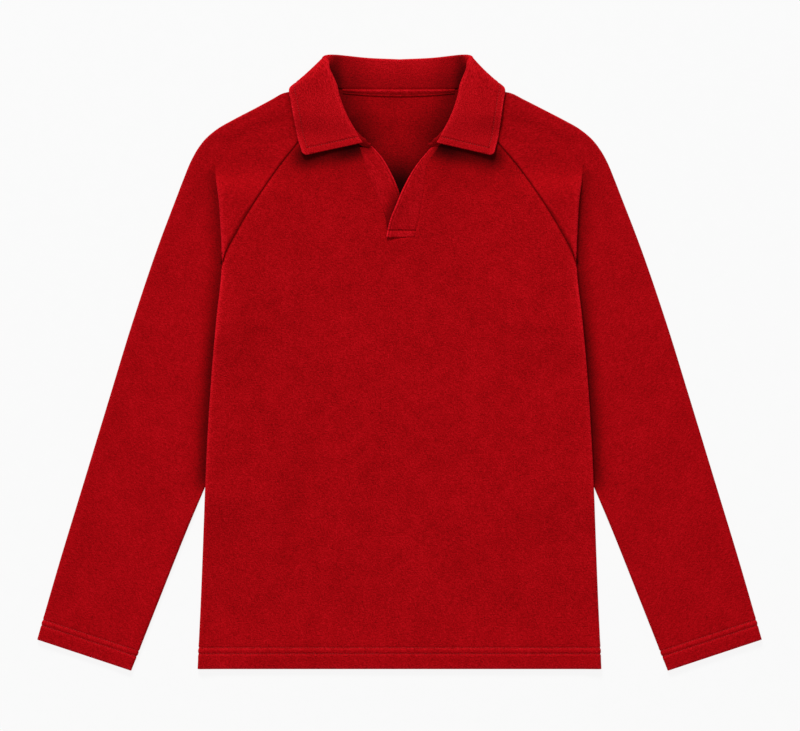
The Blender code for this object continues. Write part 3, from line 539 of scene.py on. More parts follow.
class ClothTree:
    """Node tree of one material, with the cloth's own coordinates."""

    def __init__(self, name: str) -> None:
        """Makes an empty material with its shader and output."""
        self.material = bpy.data.materials.new(name)
        self.material.use_nodes = True
        self.nodes, self.links = self.material.node_tree.nodes, self.material.node_tree.links
        self.shader = self.nodes["Principled BSDF"]

    def node(self, kind: str, settings: dict, sockets: dict, output: int | str = 0) -> Signal:
        """Adds a node: its settings first, then the values or links of its sockets.

        Args:
            kind: Blender's name of the node type.
            settings: Attributes of the node.
            sockets: Values or signals by the name or number of the input.
            output: Output to return.

        Returns:
            That output as a signal.
        """
        made = self.nodes.new(kind)
        for key, value in settings.items():
            setattr(made, key, value)
        for key, value in sockets.items():
            if isinstance(value, Signal):
                self.links.new(value.socket, made.inputs[key])
            else:
                made.inputs[key].default_value = value
        return Signal(self, made.outputs[output])

    def cloth_place(self) -> Signal:
        """Place in the flat cloth, in metres."""
        return self.node("ShaderNodeUVMap", {"uv_map": "cloth"}, {})

    def noise(self, place: Signal, scale: float, detail: float, rough: float = 0.6) -> Signal:
        """Noise between 0 and 1, with scale features in a metre."""
        sockets = {"Vector": place, "Scale": scale, "Detail": detail, "Roughness": rough}
        return self.node("ShaderNodeTexNoise", {}, sockets)

    def hairs(self, place: Signal, angle: float, across: float, along: float) -> Signal:
        """Noise drawn out into short hairs that run at an angle to the cloth's length."""
        turned = self.node("ShaderNodeMapping", {}, {"Vector": place, "Rotation": (0.0, 0.0, -angle)})
        drawn = self.node("ShaderNodeMapping", {}, {"Vector": turned, "Scale": (across, along, 1.0)})
        return self.noise(drawn, 1.0, 2.0, 0.5)

    def mix(self, factor: Signal, first: tuple, second: tuple) -> Signal:
        """Colour between two colours."""
        sockets = {0: factor, 6: (*first, 1.0), 7: (*second, 1.0)}
        return self.node("ShaderNodeMix", {"data_type": "RGBA"}, sockets, 2)

    def dye(self, depth: Signal, colour: tuple, tip: tuple) -> Signal:
        """Colour of dyed nap under painted light: black at depth 0, its own colour at 1 and the tips' colour at 2."""
        ramp = self.node("ShaderNodeValToRGB", {}, {0: depth * 0.5})
        stops = ramp.socket.node.color_ramp.elements
        stops[0].color, stops[1].color = (0.0, 0.0, 0.0, 1.0), (*tip, 1.0)
        stops.new(0.5).color = (*colour, 1.0)
        return ramp

    def tone(self) -> Signal:
        """Painted light and shade, which each point of the mesh holds."""
        return self.node("ShaderNodeAttribute", {"attribute_name": "tone"}, {}, "Fac")

    def dress(self, name: str, value: Signal | float | tuple) -> None:
        """Sets or links one socket of the shader."""
        if isinstance(value, Signal):
            self.links.new(value.socket, self.shader.inputs[name])
        else:
            self.shader.inputs[name].default_value = value


@dataclass(frozen=True)
class BrushedCloth:
    """Brushed jersey: short nap over a faint diagonal of knit, in one dyed colour."""

    name: str
    colour: tuple[float, float, float]
    contrast: float = 3.4  # how far the nap's tips and roots lie from the mean tone
    twill_angle: float = 0.0  # direction of the knit's lines, from the cloth's length
    twill: float = 0.35  # how plainly they show
    nap_height: float = 0.9
    nap_scale: float = 640.0  # tufts in a metre
    patchy: float = 0.3  # how plainly the broad patches show
    mottled: float = 0.38  # how plainly the smaller patches show
    tip: tuple[float, float, float] = (2.0, 5.0, 4.5)  # colour of the hairs' tips, whitened as a painted reflection, as parts of the dye's
    hair_grain: Pair = (640.0, 150.0)  # hairs in a metre, across them and along them
    cross_grain: Pair = (620.0, 200.0)
    cross_angle: float = 1.15
    cross_share: float = 0.2
    patch_scale: float = 16.0
    mottle_scale: float = 62.0

    def material(self) -> Finish:
        """Builds the material: tone and bump = nap noise + hairs along two directions + broad patches."""
        tree = ClothTree(self.name)
        place = tree.cloth_place()
        nap = tree.noise(place, self.nap_scale, 2.0, 0.75)
        hairs = tree.hairs(place, self.twill_angle, *self.hair_grain)
        cross_hairs = tree.hairs(place, self.twill_angle + self.cross_angle, *self.cross_grain)
        patch = tree.noise(place, self.patch_scale, 2.0)
        mottle = tree.noise(place, self.mottle_scale, 2.0)
        nap_and_painted_light = nap * (1 - self.twill) + hairs * self.twill
        fur = nap_and_painted_light * (1 - self.cross_share) + cross_hairs * self.cross_share
        blotches = (patch - 0.5) * self.patchy + (mottle - 0.5) * self.mottled
        # The colour depth is multiplied by the painted light and shade that each point holds
        depth = ((fur - 0.5) * self.contrast + blotches + 1.0) * tree.tone()
        tip = tuple(value * part for value, part in zip(self.colour, self.tip))
        tree.dress("Base Color", tree.dye(depth, self.colour, tip))
        tree.dress("Roughness", nap * 0.12 + 0.84)
        settings = {"Strength": 1.0, "Distance": self.nap_height * MM, "Height": fur}
        tree.dress("Normal", tree.node("ShaderNodeBump", {}, settings))
        tree.dress("Specular IOR Level", 0.03)
        tree.dress("Sheen Weight", 0.06)
        tree.dress("Sheen Roughness", 0.4)
        tree.dress("Sheen Tint", (1.0, 0.03, 0.05, 1.0))
        return tree.material


@dataclass(frozen=True)
class Thread:
    """Spun sewing thread: fine slanted plies and a slight sheen."""

    name: str
    colour: tuple[float, float, float]

    def material(self) -> Finish:
        """Builds the material: slanted noise stripes paint shade on the thread between its plies."""
        tree = ClothTree(self.name)
        plies = tree.hairs(tree.cloth_place(), 0.6, 2600.0, 500.0)
        dark = tuple(value * 0.6 for value in self.colour)
        tree.dress("Base Color", tree.mix(plies.between(0.3, 0.7), dark, self.colour))
        tree.dress("Roughness", plies * 0.2 + 0.5)
        tree.dress("Normal", tree.node("ShaderNodeBump", {}, {"Distance": 0.1 * MM, "Height": plies}))
        tree.dress("Sheen Weight", 0.2)
        return tree.material


# ---------------------------------------------------------------- stitching


@dataclass(frozen=True)
class Stitch:
    """One stitch of lockstitch sewing thread: a short low hump, its two ends sunk in the cloth."""

    length: float = 2.0
    pitch: float = 3.0
    radius: float = 0.27
    sunk: float = 0.12
    corners: int = 6
    stations: int = 5
    look: float = 0.4  # distance ahead and behind at which a stitch takes its direction

    def template(self) -> tuple[Array, Array]:
        """Points (along, side, up) and quads of a tube whose ends taper: radius and height follow a sine."""
        t = np.linspace(0.06, 0.94, self.stations)
        turn = np.linspace(0.0, 2 * np.pi, self.corners, endpoint=False)
        arch = np.sin(np.pi * t)
        swell = self.radius * arch**0.45
        along = np.broadcast_to(((t - 0.5) * self.length)[:, None], (self.stations, self.corners))
        up = np.outer(swell, np.sin(turn)) + (self.radius * (arch - 0.6) - self.sunk)[:, None]
        points = np.stack([along, np.outer(swell, np.cos(turn)), up], axis=-1).reshape(-1, 3)
        ring = np.arange(len(points)).reshape(self.stations, self.corners)
        ring = np.concatenate([ring, ring[:, :1]], axis=1)
        caps = np.array([[0, 1, 2, 3], [0, 3, 4, 5]])
        return points, np.concatenate([grid_faces(ring), ring[0][caps[:, ::-1]], ring[-1][caps]])

    def along_lines(self, name: str, lines: Lines, material: Finish) -> Piece:
        """Sets stitches along lines of points that have normals.

        Args:
            name: Name of the piece.
            lines: Points and normals of each line, in millimetres.
            material: The thread's finish.

        Returns:
            One object with all the stitches.
        """
        template, quads = self.template()
        points, faces, flat, count = [], [], [], 0
        for line, normals in lines:
            lengths = arc_lengths(line)
            places = np.arange(self.pitch / 2, lengths[-1], self.pitch)
            ahead, behind = (interpolated(places + step, lengths, line) for step in (self.look, -self.look))
            tangent, up = unit(ahead - behind), interpolated(places, lengths, normals)
            up = unit(up - tangent * (up * tangent).sum(axis=1, keepdims=True))
            frame = np.stack([tangent, np.cross(up, tangent), up], axis=1)
            made = interpolated(places, lengths, line)[:, None] + np.einsum("pk,skc->spc", template, frame)
            numbers = count + np.arange(len(places)) * len(template)
            points.append(made.reshape(-1, 3))
            faces.append((quads + numbers[:, None, None]).reshape(-1, 4))
            along = np.repeat(places, len(template))[:, None] * (0, 1)
            flat.append(np.tile(template[:, [1, 0]], (len(places), 1)) + along)
            count += len(places) * len(template)
        places = settled(np.concatenate(points))
        return mesh_object(name, places, np.concatenate(faces), np.concatenate(flat), material)


def stitched_dent(distance: Array, depth: float, width: float = 0.9) -> Array:
    """How far a row of stitches pulls the cloth in: a bell across the line, with a faint swell beside it."""
    return depth * (bell(distance, width) - 0.35 * bell(np.abs(distance) - 2.6, 1.3))


@dataclass(frozen=True)
class Hem:
    """A turned-up hem with two rows of stitches. Its heights run from its edge up."""

    lines: Pair
    band: float = 25.2
    extra: float = 0.8  # how much thicker the cloth is where it is turned up
    dent: float = 0.5
    puff: Bands = ((0.25, 0.0, 2.2),)  # swell between the lines
    seam_groove: Bands = ((-0.75, 0.0, 1.5), (0.18, 3.4, 1.8))
    # Painted shade in the seam's groove, painted light beside it, below each row of stitches, between them and at the
    # edge
    seam_tones: Bands = ((-0.62, 0.0, 0.8), (0.07, 3.4, 2.2))
    line_tones: Bands = ((0.14, -1.6, 0.9),)
    between_tones: Bands = ((0.05, 0.0, 2.4),)
    edge_tones: Bands = ((0.5, 0.0, 2.4),)

    def walls(self, half_wall: float, up: Array, near_seam: Array) -> tuple[Array, Array]:
        """Outer and inner wall: dents at the stitches and the raglan seam, and the turned-up band."""
        dents = sum(stitched_dent(up - line, self.dent) for line in self.lines)
        front = half_wall - dents + bands(up - sum(self.lines) / 2, self.puff) + bands(near_seam, self.seam_groove)
        return front, half_wall + self.extra * ease(up, self.band + 1.2, self.band - 0.6)

    def tone(self, up: Array, near_seam: Array) -> Array:
        """Painted light at the hem's edge and beside its stitches, and painted shade in the raglan seam's groove."""
        tone = bands(near_seam, self.seam_tones) + bands(up, self.edge_tones)
        tone += bands(up - sum(self.lines) / 2, self.between_tones)
        return tone + sum(bands(up - line, self.line_tones) for line in self.lines)


# ---------------------------------------------------------------- body panels


class PanelSide(Enum):
    """Which panel of the body."""

    FRONT = "front"
    BACK = "back"


@dataclass
class BodyPanel:
    """The front or the back: from the hem up the side folds, along the raglan seams and to the neck."""

    form: ShirtForm
    which: PanelSide
    creases: tuple[Crease, ...] = ()
    hem: Hem = Hem((18.3, 25.7))
    body_fold: float = 3.6
    row_step: float = 5.0
    seam_rows: int = 66
    collar_front: Points = ((41.0, 265.0), (60.0, 262.0), (88.0, 255.0), (112.0, 249.0))
    collar_shade: float = 0.74  # painted shadow: how much darker the front is at the collar's edge
    collar_reach: Pair = (3.0, 27.0)
    neck_side: Bands = ((1.0, 58.0, 20.0),)  # where the collar's painted shadow is deeper and wider beside the neck
    neck_side_shade: float = 0.16
    neck_side_reach: float = 3.5
    broad_shade: float = 0.14  # the faint painted shadow further down
    broad_reach: Pair = (15.0, 75.0)
    # painted highlights on the crest over the sleeve and on the side folds
    crest_tones: Bands = ((0.5, 0.0, 3.4), (0.1, 0.0, 14.0))
    fold_tones: Bands = ((0.25, 0.0, 2.0),)
    crease_tone: float = 0.045  # painted light: how much lighter the cloth is for each millimetre that it rises
    neck_tone: float = 0.84  # painted shade on the inner side, with what it loses under the collar's fold
    neck_fold_tones: Bands = ((-0.5, 0.0, 25.0),)
    deep_shade: float = 0.95  # and painted shade deep in the opening, less so away from the middle
    deep_up: Pair = (276.0, 214.0)
    deep_out: Pair = (4.0, 34.0)
    deep_loss: float = 0.4
    neck_fold: Points = ((45.4, 267.0), (50.4, 276.6), (56.4, 287.0), (65.0, 302.0), (70.6, 319.5), (75.6, 336.0))
    below_slot: tuple[float, ...] = (0.012, 0.028)  # parts of the raglan seam at the rows before the slot
    slot_part: float = 0.047  # part of the raglan seam at which the slot's bottom row starts
    slot_y: float = 151.2
    side_depths: tuple[float, ...] = (0.0, 0.5, 1.0, 1.6, 2.3, 3.0, 3.8, 5.2, 7.4)
    columns: int = 42
    slot_columns: int = 9
    slot_right: Points = (
        (-14.6, 151.2), (-16.7, 172.8), (-24.0, 192.8), (-33.2, 213.1), (-40.6, 235.2), (-48.4, 260.9),
    )  # fmt: skip
    slot_left: Points = ((18.2, 151.2), (22.0, 167.2), (25.6, 185.5), (29.3, 207.6), (33.5, 237.0), (48.0, 260.9))
    outer: Array = field(default=None, init=False)
    outer_normals: Array = field(default=None, init=False)

    @property
    def is_front(self) -> bool:
        """Whether this is the front."""
        return self.which is PanelSide.FRONT

    @property
    def seam(self) -> Points:
        """Raglan seam of this panel."""
        return self.form.front_seam if self.is_front else self.form.back_seam

    def outline(self) -> tuple[Array, Array, Array]:
        """(out, up) of the edge from the hem to the neck, which points are on the side, and the seam's parts."""
        form = self.form
        lines = tuple(form.hem_y + line for line in self.hem.lines)
        low = finer_near(form.hem_y + 0.3, form.armpit_y, self.row_step, lines)
        side = np.stack([form.edge_at(low) - form.half_wall, low], axis=-1)
        above_slot = self.slot_part + (1 - self.slot_part) * np.linspace(0.0, 1.0, self.seam_rows)
        parts = np.concatenate([self.below_slot, above_slot])
        upper = points_along(self.seam, parts)
        upper[:, 0] -= form.armpit_inset(upper[:, 1])
        edge = np.concatenate([side, upper])
        on_side = np.arange(len(edge)) < len(side)
        gap = np.where(on_side, 0.0, form.seam_gap(edge[:, 1]) + RIM)
        inward = turned_left(unit(np.gradient(edge, axis=0)))
        return edge + gap[:, None] * inward, on_side, np.concatenate([np.zeros(len(side)), parts])

    def middle_line(self, edge: Array, first: int, slot: Points) -> Array:
        """(across, up) of each row's inner end: a straight line up to the slot's first row, then the slot's edge."""
        stretch = ease(np.arange(len(edge)), first * 0.45, first)
        up = edge[:, 1] + (self.slot_y - edge[first, 1]) * stretch
        line = np.stack([np.full(len(edge), slot[0][0]), up], axis=-1)
        line[first:] = points_along(slot, np.linspace(0.0, 1.0, len(edge) - first))
        return line

    def half_grid(self, edge: Array, line: Array) -> Array:
        """Columns from the edge inwards: fixed depths at the side, then evenly spaced to the line."""
        across = line - edge
        width = np.linalg.norm(across, axis=1)[:, None]
        depths = np.array(self.side_depths)
        at_side = np.broadcast_to(depths, (len(edge), len(depths)))
        parts = np.linspace(0.0, 1.0, self.columns + 1)[1:]
        depth = np.concatenate([at_side, depths[-1] + (width - depths[-1]) * parts], axis=1)
        return edge[:, None] + across[:, None] * (depth / width)[..., None]

    def plan(self) -> tuple[Array, Array, Array | None, Array]:
        """(across, up) of the grid's points, which rows are on the side, the faces to keep and the raglan seam."""
        edge, on_side, parts = self.outline()
        first = int(np.argmax(parts >= self.slot_part))
        if not self.is_front:
            line = self.middle_line(edge, first, ((0.0, self.slot_y), (0.0, float(edge[-1, 1]))))
            rise = np.linspace(0.0, 1.0, len(edge) - first)
            line[first:, 1] = self.slot_y + (edge[-1, 1] - self.slot_y) * rise**1.6
            half = self.half_grid(edge, line)
            return np.concatenate([half * (-1, 1), half[:, ::-1][:, 1:]], axis=1), on_side, None, edge
        right_line, left_line = (self.middle_line(edge, first, slot) for slot in (self.slot_right, self.slot_left))
        right, left = self.half_grid(edge * (-1, 1), right_line), self.half_grid(edge, left_line)
        share = np.linspace(0.0, 1.0, self.slot_columns + 2)[1:-1]
        middle = right_line[:, None] + (left_line - right_line)[:, None] * share[:, None]
        keep = np.ones((len(edge) - 1, 2 * right.shape[1] + self.slot_columns - 1), bool)
        keep[first:, right.shape[1] - 1 : right.shape[1] + self.slot_columns] = False
        return np.concatenate([right, middle, left[:, ::-1]], axis=1), on_side, keep, edge

    def levels(self, plan: Array) -> Array:
        """Level of the layer: an arc of a circle over the side fold, the form's level further in, and the creases."""
        form, (out, height) = self.form, np.moveaxis(on_half(plan), -1, 0)
        flat = form.front_level(out, height) if self.is_front else form.back_level(out, height)
        depth = np.maximum(form.edge_at(height) - form.half_wall - out, 0.0)
        seam = form.side_seam_level(np.minimum(height, form.armpit_y)) + (SEAM / 2 if self.is_front else -SEAM / 2)
        if self.is_front:
            above = ease(height, form.armpit_y, form.armpit_y + 6)
            seam = seam + (flat - form.turn - form.layers - seam) * above
        else:
            seam = seam + (flat - seam) * ease(height, form.armpit_y - 2, form.armpit_y + 8)
        part = np.clip(depth / self.body_fold, 0.0, 1.0)
        folded = seam + (flat - seam) * np.sqrt(1 - (1 - part) ** 2)
        level = np.where(height < form.armpit_y + 14, folded, flat)
        return level + relief(self.creases, plan) * ease(depth, 4.0, 30.0)

    def near_seam(self, plan: Array, seam: Array) -> Array:
        """Distance in plan to the raglan seams."""
        upper = seam[seam[:, 1] > self.form.armpit_y - 1][::4]
        return distance_to(upper, on_half(plan))

    def painted_lights(self, plan: Array, near_seam: Array) -> tuple[Array, Array]:
        """Painted light and shade of both sides: light on the side folds' crests, shade in grooves and under the
        collar.

        Args:
            plan: (across, up) of each point.
            near_seam: Distance to the raglan seams.

        Returns:
            Painted light and shade of the outer side and of the inner side, which shows through the neck.
        """
        form, places = self.form, on_half(plan)
        out, height = np.moveaxis(places, -1, 0)
        inward = form.edge_at(np.minimum(height, form.armpit_y)) - out
        raised = form.crest_lift(height) / (4 * form.turn) * ease(height, form.armpit_y + 40, form.armpit_y)
        tone = 1 + raised * bands(inward, self.crest_tones) + bands(inward, self.fold_tones)
        tone += self.hem.tone(height - form.hem_y, near_seam)
        below = distance_to(np.array(self.collar_front), places)
        beside_neck = bands(out, self.neck_side)
        collar_shadow = 1 - ease(below - self.neck_side_reach * beside_neck, *self.collar_reach)
        tone *= 1 - (self.collar_shade + self.neck_side_shade * beside_neck) * collar_shadow
        tone *= 1 - self.broad_shade * (1 - ease(below, *self.broad_reach))
        tone += self.crease_tone * relief(self.creases, plan)
        deep = ease(height, *self.deep_up) * (1 - self.deep_loss * ease(out, *self.deep_out))
        from_fold = distance_to(np.array(self.neck_fold), places)
        inner = (self.neck_tone + bands(from_fold, self.neck_fold_tones)) * (1 - self.deep_shade * deep)
        return tone.clip(*PAINTED_LIGHT_RANGE), inner.clip(0.02, 1.0)

    def make(self, material: Finish) -> Piece:
        """Builds the panel and keeps its outer wall, on which stitches are set."""
        plan, on_side, keep, seam = self.plan()
        points, faces = grid_surface(plan, self.levels(plan), keep)
        if not self.is_front:
            faces = faces[:, ::-1]
        normals = surface_normals(points, faces)
        grid_normals = normals.reshape(*plan.shape[:2], 3)
        side_rows = np.where(on_side)[0][:, None]
        grid_normals[side_rows, (0, -1)] = unit(grid_normals[side_rows, (0, -1)] * (1, 1, 0))  # level at the folds
        near_seam = self.near_seam(plan, seam)
        front, back = self.hem.walls(self.form.half_wall, plan[..., 1] - self.form.hem_y, near_seam)
        tone, inner_painted_light = self.painted_lights(plan, near_seam)
        self.outer = (points + normals * front.reshape(-1, 1)).reshape(*plan.shape[:2], 3)
        self.outer_normals = grid_normals
        flat = plan.reshape(-1, 2)
        wall = ClothMesh(points, faces, flat, front, back, normals, tone, inner_painted_light, rim=RIM)
        return wall.build(f"{self.which.value}_panel", material)

    def hem_rows(self) -> Lines:
        """Points and normals along the hem's two rows of stitches."""
        heights = self.outer[:, self.outer.shape[1] // 2, 1] - self.form.hem_y
        rows = [int(np.argmin(np.abs(heights - line))) for line in self.hem.lines]
        return [(self.outer[row], self.outer_normals[row]) for row in rows]


@dataclass(frozen=True)
class SeamAllowance:
    """The overlocked edges of a raglan seam: a narrow ribbon that lies between the layers, under the seam."""

    form: ShirtForm
    half_width: float = 3.6
    half_wall: float = 0.28
    parts: Pair = (0.055, 0.93)  # part of the seam where it starts and ends
    rows: int = 90
    columns: int = 5

    def make(self, name: str, side: int, seam: Points, above: float, material: Finish) -> Piece:
        """Builds the ribbon along one seam, above or below the middle between the two layers.

        Args:
            name: Name of the piece.
            side: 1 at +X, -1 at -X.
            seam: The seam's (out, up) points.
            above: Height over the middle between the layers.
            material: Its finish.

        Returns:
            The ribbon.
        """
        line = points_along(seam, np.linspace(*self.parts, self.rows))
        across = np.linspace(-self.half_width, self.half_width, self.columns)
        outward = turned_left(unit(np.gradient(line, axis=0)))
        plan = line[:, None] + across[None, :, None] * outward[:, None]
        out, height = np.moveaxis(plan, -1, 0)
        level = self.form.back_level(out, height) + self.form.half_space(out, height) + above
        points, faces = grid_surface(plan * (side, 1), level)
        if surface_normals(points, faces)[:, 2].mean() < 0:
            faces = faces[:, ::-1]
        flat = np.stack([np.broadcast_to(across, level.shape), height], axis=-1).reshape(-1, 2)
        # Painted shade: the ribbon is dark between the layers
        wall = ClothMesh(points, faces, flat, self.half_wall, self.half_wall, tone=0.3, inner_painted_light=0.3, rim=0.2)
        return wall.build(name, material)


# ---------------------------------------------------------------- sleeves


@dataclass
class SleeveRow:
    """One row across a sleeve: where it starts, which way it runs and how it folds."""

    start: Array
    heading: Array
    swell: float  # how much further apart the layers lie at the outer fold
    closed: bool
    turn_at: float = 0.0  # distance to the hidden turn
    turned: float = 0.0  # angle of the turns
    depth: float = 0.0  # straight part of the pleat
    end_turned: float = 0.0  # angle turned back at a flap's end
    crest_at: float = 0.0  # distance to the end of the pleat's second turn
    end: float = 0.0  # distance to the raglan seam
    end_swell: float = 0.0  # as swell, at the inner fold
    cuff: float = 0.0  # how much further apart the layers lie at the cuff
    split_at: float = 0.0  # distance at which the closer columns start

    def place(self, distance: Value) -> Array:
        """(out, up) at this distance along the row."""
        return self.start + np.multiply.outer(distance, self.heading)


@dataclass
class Sleeve:
    """A raglan sleeve: a flat tube below the armpit, open rows above it, and a pleat folded under the body's edge."""

    form: ShirtForm
    length: float = 500.0
    hem: Hem = Hem((18.2, 25.2))
    pleat_depth: float = 13.5
    pleat_fades: Pair = (0.0, 0.1)  # parts of the tube's length: from the armpit on, the pleat's depth fades,
    unfolds: Pair = (0.075, 0.17)  # its turn opens,
    end_unturns: Pair = (0.0, 0.03)  # and the turned-back end,
    end_angle: float = 40.0  # of this angle, opens
    fold_swell: float = 1.2
    swell_at_outer: Pair = (3.0, 30.0)  # distances from a fold within which the layers come together
    swell_at_inner: Pair = (28.0, 2.0)
    clear_of_body_y: Pair = (-146.0, -200.0)
    cuff_gap: float = 0.9  # how much further apart the layers lie at the cuff
    cuff_gap_up: Pair = (70.0, 24.0)
    split_back: float = 45.0  # how far before the fold the closer columns start, where it is open
    fan: float = 1.08  # how the rows over the shoulder spread along the raglan seam
    neck_swell_fades: Pair = (0.8, 1.0)
    armpit_outer_y: float = 141.6
    axis: Pair = (-0.295, 0.955)  # direction from the cuff to the shoulder
    contact_reach: float = 12.0
    contact_shade: float = 0.46  # painted shadow: how much darker the sleeve is where the body's edge lies over it
    contact_gain: float = 0.26  # and what this gains down the sleeve
    contact_gain_y: Pair = (190.0, 0.0)
    contact_end_y: Pair = (-165.0, -135.0)
    # painted highlight on the pleat's crest
    crest_tones: Bands = ((0.6, 0.0, 3.4), (0.12, 0.0, 14.0))
    crest_steps: Pair = (0.35, 0.8)  # parts of the lift between which the crest starts
    slope: Pair = (185.0, 225.0)  # middle of the shoulder's slope, where a little painted shade lies
    slope_tones: Bands = ((-0.07, 0.0, 60.0),)
    # painted shade beside the collar's edge
    collar_tones: Bands = ((-0.5, 0.0, 4.5),)
    collar_edge: Points = ((116.0, 249.6), (118.4, 262.0), (122.8, 285.6), (126.6, 306.0), (130.6, 324.4))
    row_step: float = 5.2
    flap_from: float = 0.72  # part of the length from which the rows are closer
    flap_rows: int = 46
    # Rows above the armpit: from a part of the way to the neck, to another part, and how many
    shoulder_rows: tuple = ((0.0, 0.08, 16), (0.08, 0.25, 18), (0.25, 0.48, 60), (0.48, 1.0, 36))
    head_columns: int = 40
    tail_columns: int = 44
    sparse_step: float = 22.0  # length of straight path that weighs 1 where the columns are spaced
    bend_weight: float = 1.2  # weight of a radian of bend
    turn_points: int = 48
    fold_points: int = 16
    least_flat: float = 8.0  # shortest flat part of an open row
    seam_search: float = 160.0  # reach along a row within which it passes the body's edge
    pleat_rounds: int = 20
    outer_fold: Points = (
        (434.4, -332.4), (406.6, -236.4), (377.4, -140.4), (348.3, -44.4), (318.9, 51.6), (286.4, 147.6),
        (268.2, 195.6), (259.0, 219.6), (249.0, 243.6), (242.4, 255.6), (233.4, 267.6), (219.6, 279.6),
        (199.0, 291.6), (176.0, 303.6), (153.4, 315.6), (138.0, 323.6), (130.0, 325.0), (112.0, 327.6),
        (99.0, 330.0), (90.6, 331.6),
    )  # fmt: skip
    inner_fold: Points = (
        (191.4, 111.0), (191.4, 80.0), (191.6, 30.0), (193.5, -15.0), (199.5, -55.0), (213.0, -100.0),
        (233.4, -148.8), (250.2, -188.4), (288.6, -284.4), (322.2, -369.6),
    )  # fmt: skip
    rings: dict[float, tuple[Array, Array]] = field(default_factory=dict, init=False)

    def __post_init__(self) -> None:
        """Finds where the row through the armpit starts on the outer fold."""
        curve, lengths = dense_curve(self.outer_fold)
        self.split = float(np.interp(self.armpit_outer_y, curve[:, 1], lengths) / lengths[-1])

    def closed_row(self, part: float) -> SleeveRow:
        """A row of the tube, part being 0 at the armpit and 1 at the cuff. Its end is folded under at the armpit."""
        form = self.form
        start = points_along(self.outer_fold, self.split * (1 - part))
        finish = points_along(self.inner_fold, part)
        width = float(np.linalg.norm(finish - start))
        turned = float(np.pi * (1 - ease(part, *self.unfolds)))
        end_swell = self.fold_swell * float(ease(finish[1], *self.clear_of_body_y))
        reach = form.half_wall + form.layers + form.turn * np.sin(min(turned, np.pi / 2)) + end_swell
        return SleeveRow(
            start=start,
            heading=(finish - start) / width,
            swell=self.fold_swell,
            closed=True,
            turn_at=width - reach,
            turned=turned,
            depth=self.pleat_depth * float(1 - ease(part, *self.pleat_fades)),
            end_turned=float(np.radians(self.end_angle) * (1 - ease(part, *self.end_unturns))),
            end_swell=end_swell,
            cuff=self.cuff_gap * float(ease((1 - part) * self.length, *self.cuff_gap_up)),
            split_at=width - reach - self.split_back * (1 - turned / np.pi),
        )

    def open_row(self, part: float, seam: Points) -> SleeveRow:
        """A row over the shoulder, part being 0 at the armpit and 1 at the neck, to one of the raglan seams."""
        form = self.form
        start = points_along(self.outer_fold, self.split + (1 - self.split) * part)
        finish = points_along(seam, part**self.fan)
        finish = finish - np.array([form.armpit_inset(finish[1]), 0.0])
        width = float(np.linalg.norm(finish - start))
        heading = (finish - start) / width
        swell = self.fold_swell * float(1 - 0.5 * ease(part, *self.neck_swell_fades))
        row = SleeveRow(start, heading, swell, closed=False, end=width - float(form.seam_gap(finish[1])) - RIM)
        distance = np.linspace(0.0, self.seam_search, 3200)
        out, height = row.place(distance).T
        row.split_at = float(distance[np.argmax(out <= form.crest_edge(height))])
        row.turn_at, row.crest_at = (
            max(self.least_flat, float(self.pleat(row, 1, *np.full((3, 1), part))[0, 0])) for part in (0.0, 1.0)
        )
        row.turned = float(form.pleat_angle(row.place(row.crest_at)[1]))
        return row

    def pleat(self, row: SleeveRow, side: int, first: Array, straight: Array, second: Array) -> Array:
        """Where an open row meets the pleat under the body's edge.

        The pleat grows down the edge, so each point takes the pleat's shape at its own height, found by repetition:
        from a height to the shape there, to the row's place on that shape, to the height of that place.

        Args:
            row: The open row.
            side: 1 for the front layer, -1 for the back one.
            first: Part of the first turn behind each point.
            straight: Part of the stretch between the turns.
            second: Part of the second turn.

        Returns:
            (distance along the row, level) of each point.
        """
        form, height = self.form, np.full(len(first), row.place(row.split_at)[1])
        near, far = form.turn - side * form.layers, form.turn + side * form.layers
        for _ in range(self.pleat_rounds):
            turned = form.pleat_angle(height)
            depth = self.pleat_depth * ease(height, form.crest_full_y - 2, form.armpit_y)
            run, climb = depth * np.cos(turned), depth * np.sin(turned)
            span, rise = 2 * form.turn * np.sin(turned) + run, -2 * form.turn * np.cos(turned) + climb
            begun = turned * first
            before = (near * np.sin(begun) + straight * run, straight * climb - near * np.cos(begun))
            last = turned * (1 - second)
            after = (span - far * np.sin(last), rise + far * np.cos(last))
            inward, level = np.where(second > 0, after, before)
            distance = (form.crest_edge(height) - form.crest_inset + span - inward - row.start[0]) / row.heading[0]
            height = row.start[1] + row.heading[1] * distance
        return np.stack([distance, form.floor + form.layers + form.turn + level], axis=-1)

    def flat_part(self, row: SleeveRow, side: int) -> Array:
        """(distance, level) of a layer from the outer fold, a quarter circle, to the place where it turns."""
        form = self.form
        swell = form.layers + row.swell
        turn = np.linspace(0.0, np.pi / 2, self.fold_points)
        start = form.floor + form.neck_lift(*row.place(swell))
        fold = np.stack([swell * (1 - np.cos(turn)), swell * (1 + side * np.sin(turn)) + start], axis=-1)
        across = np.linspace(swell, row.turn_at, 160)[1:]
        space = form.layers + row.cuff + (row.swell - row.cuff) * (1 - ease(across, *self.swell_at_outer))
        space += (row.end_swell - row.cuff) * ease(row.turn_at - across, *self.swell_at_inner)
        out, height = row.place(across).T
        if not row.closed:
            space = np.maximum(space, form.half_space(out, height))
        level = form.floor + form.neck_lift(out, height) + (1 + side) * space
        return np.concatenate([fold, np.stack([across, level], axis=-1)])

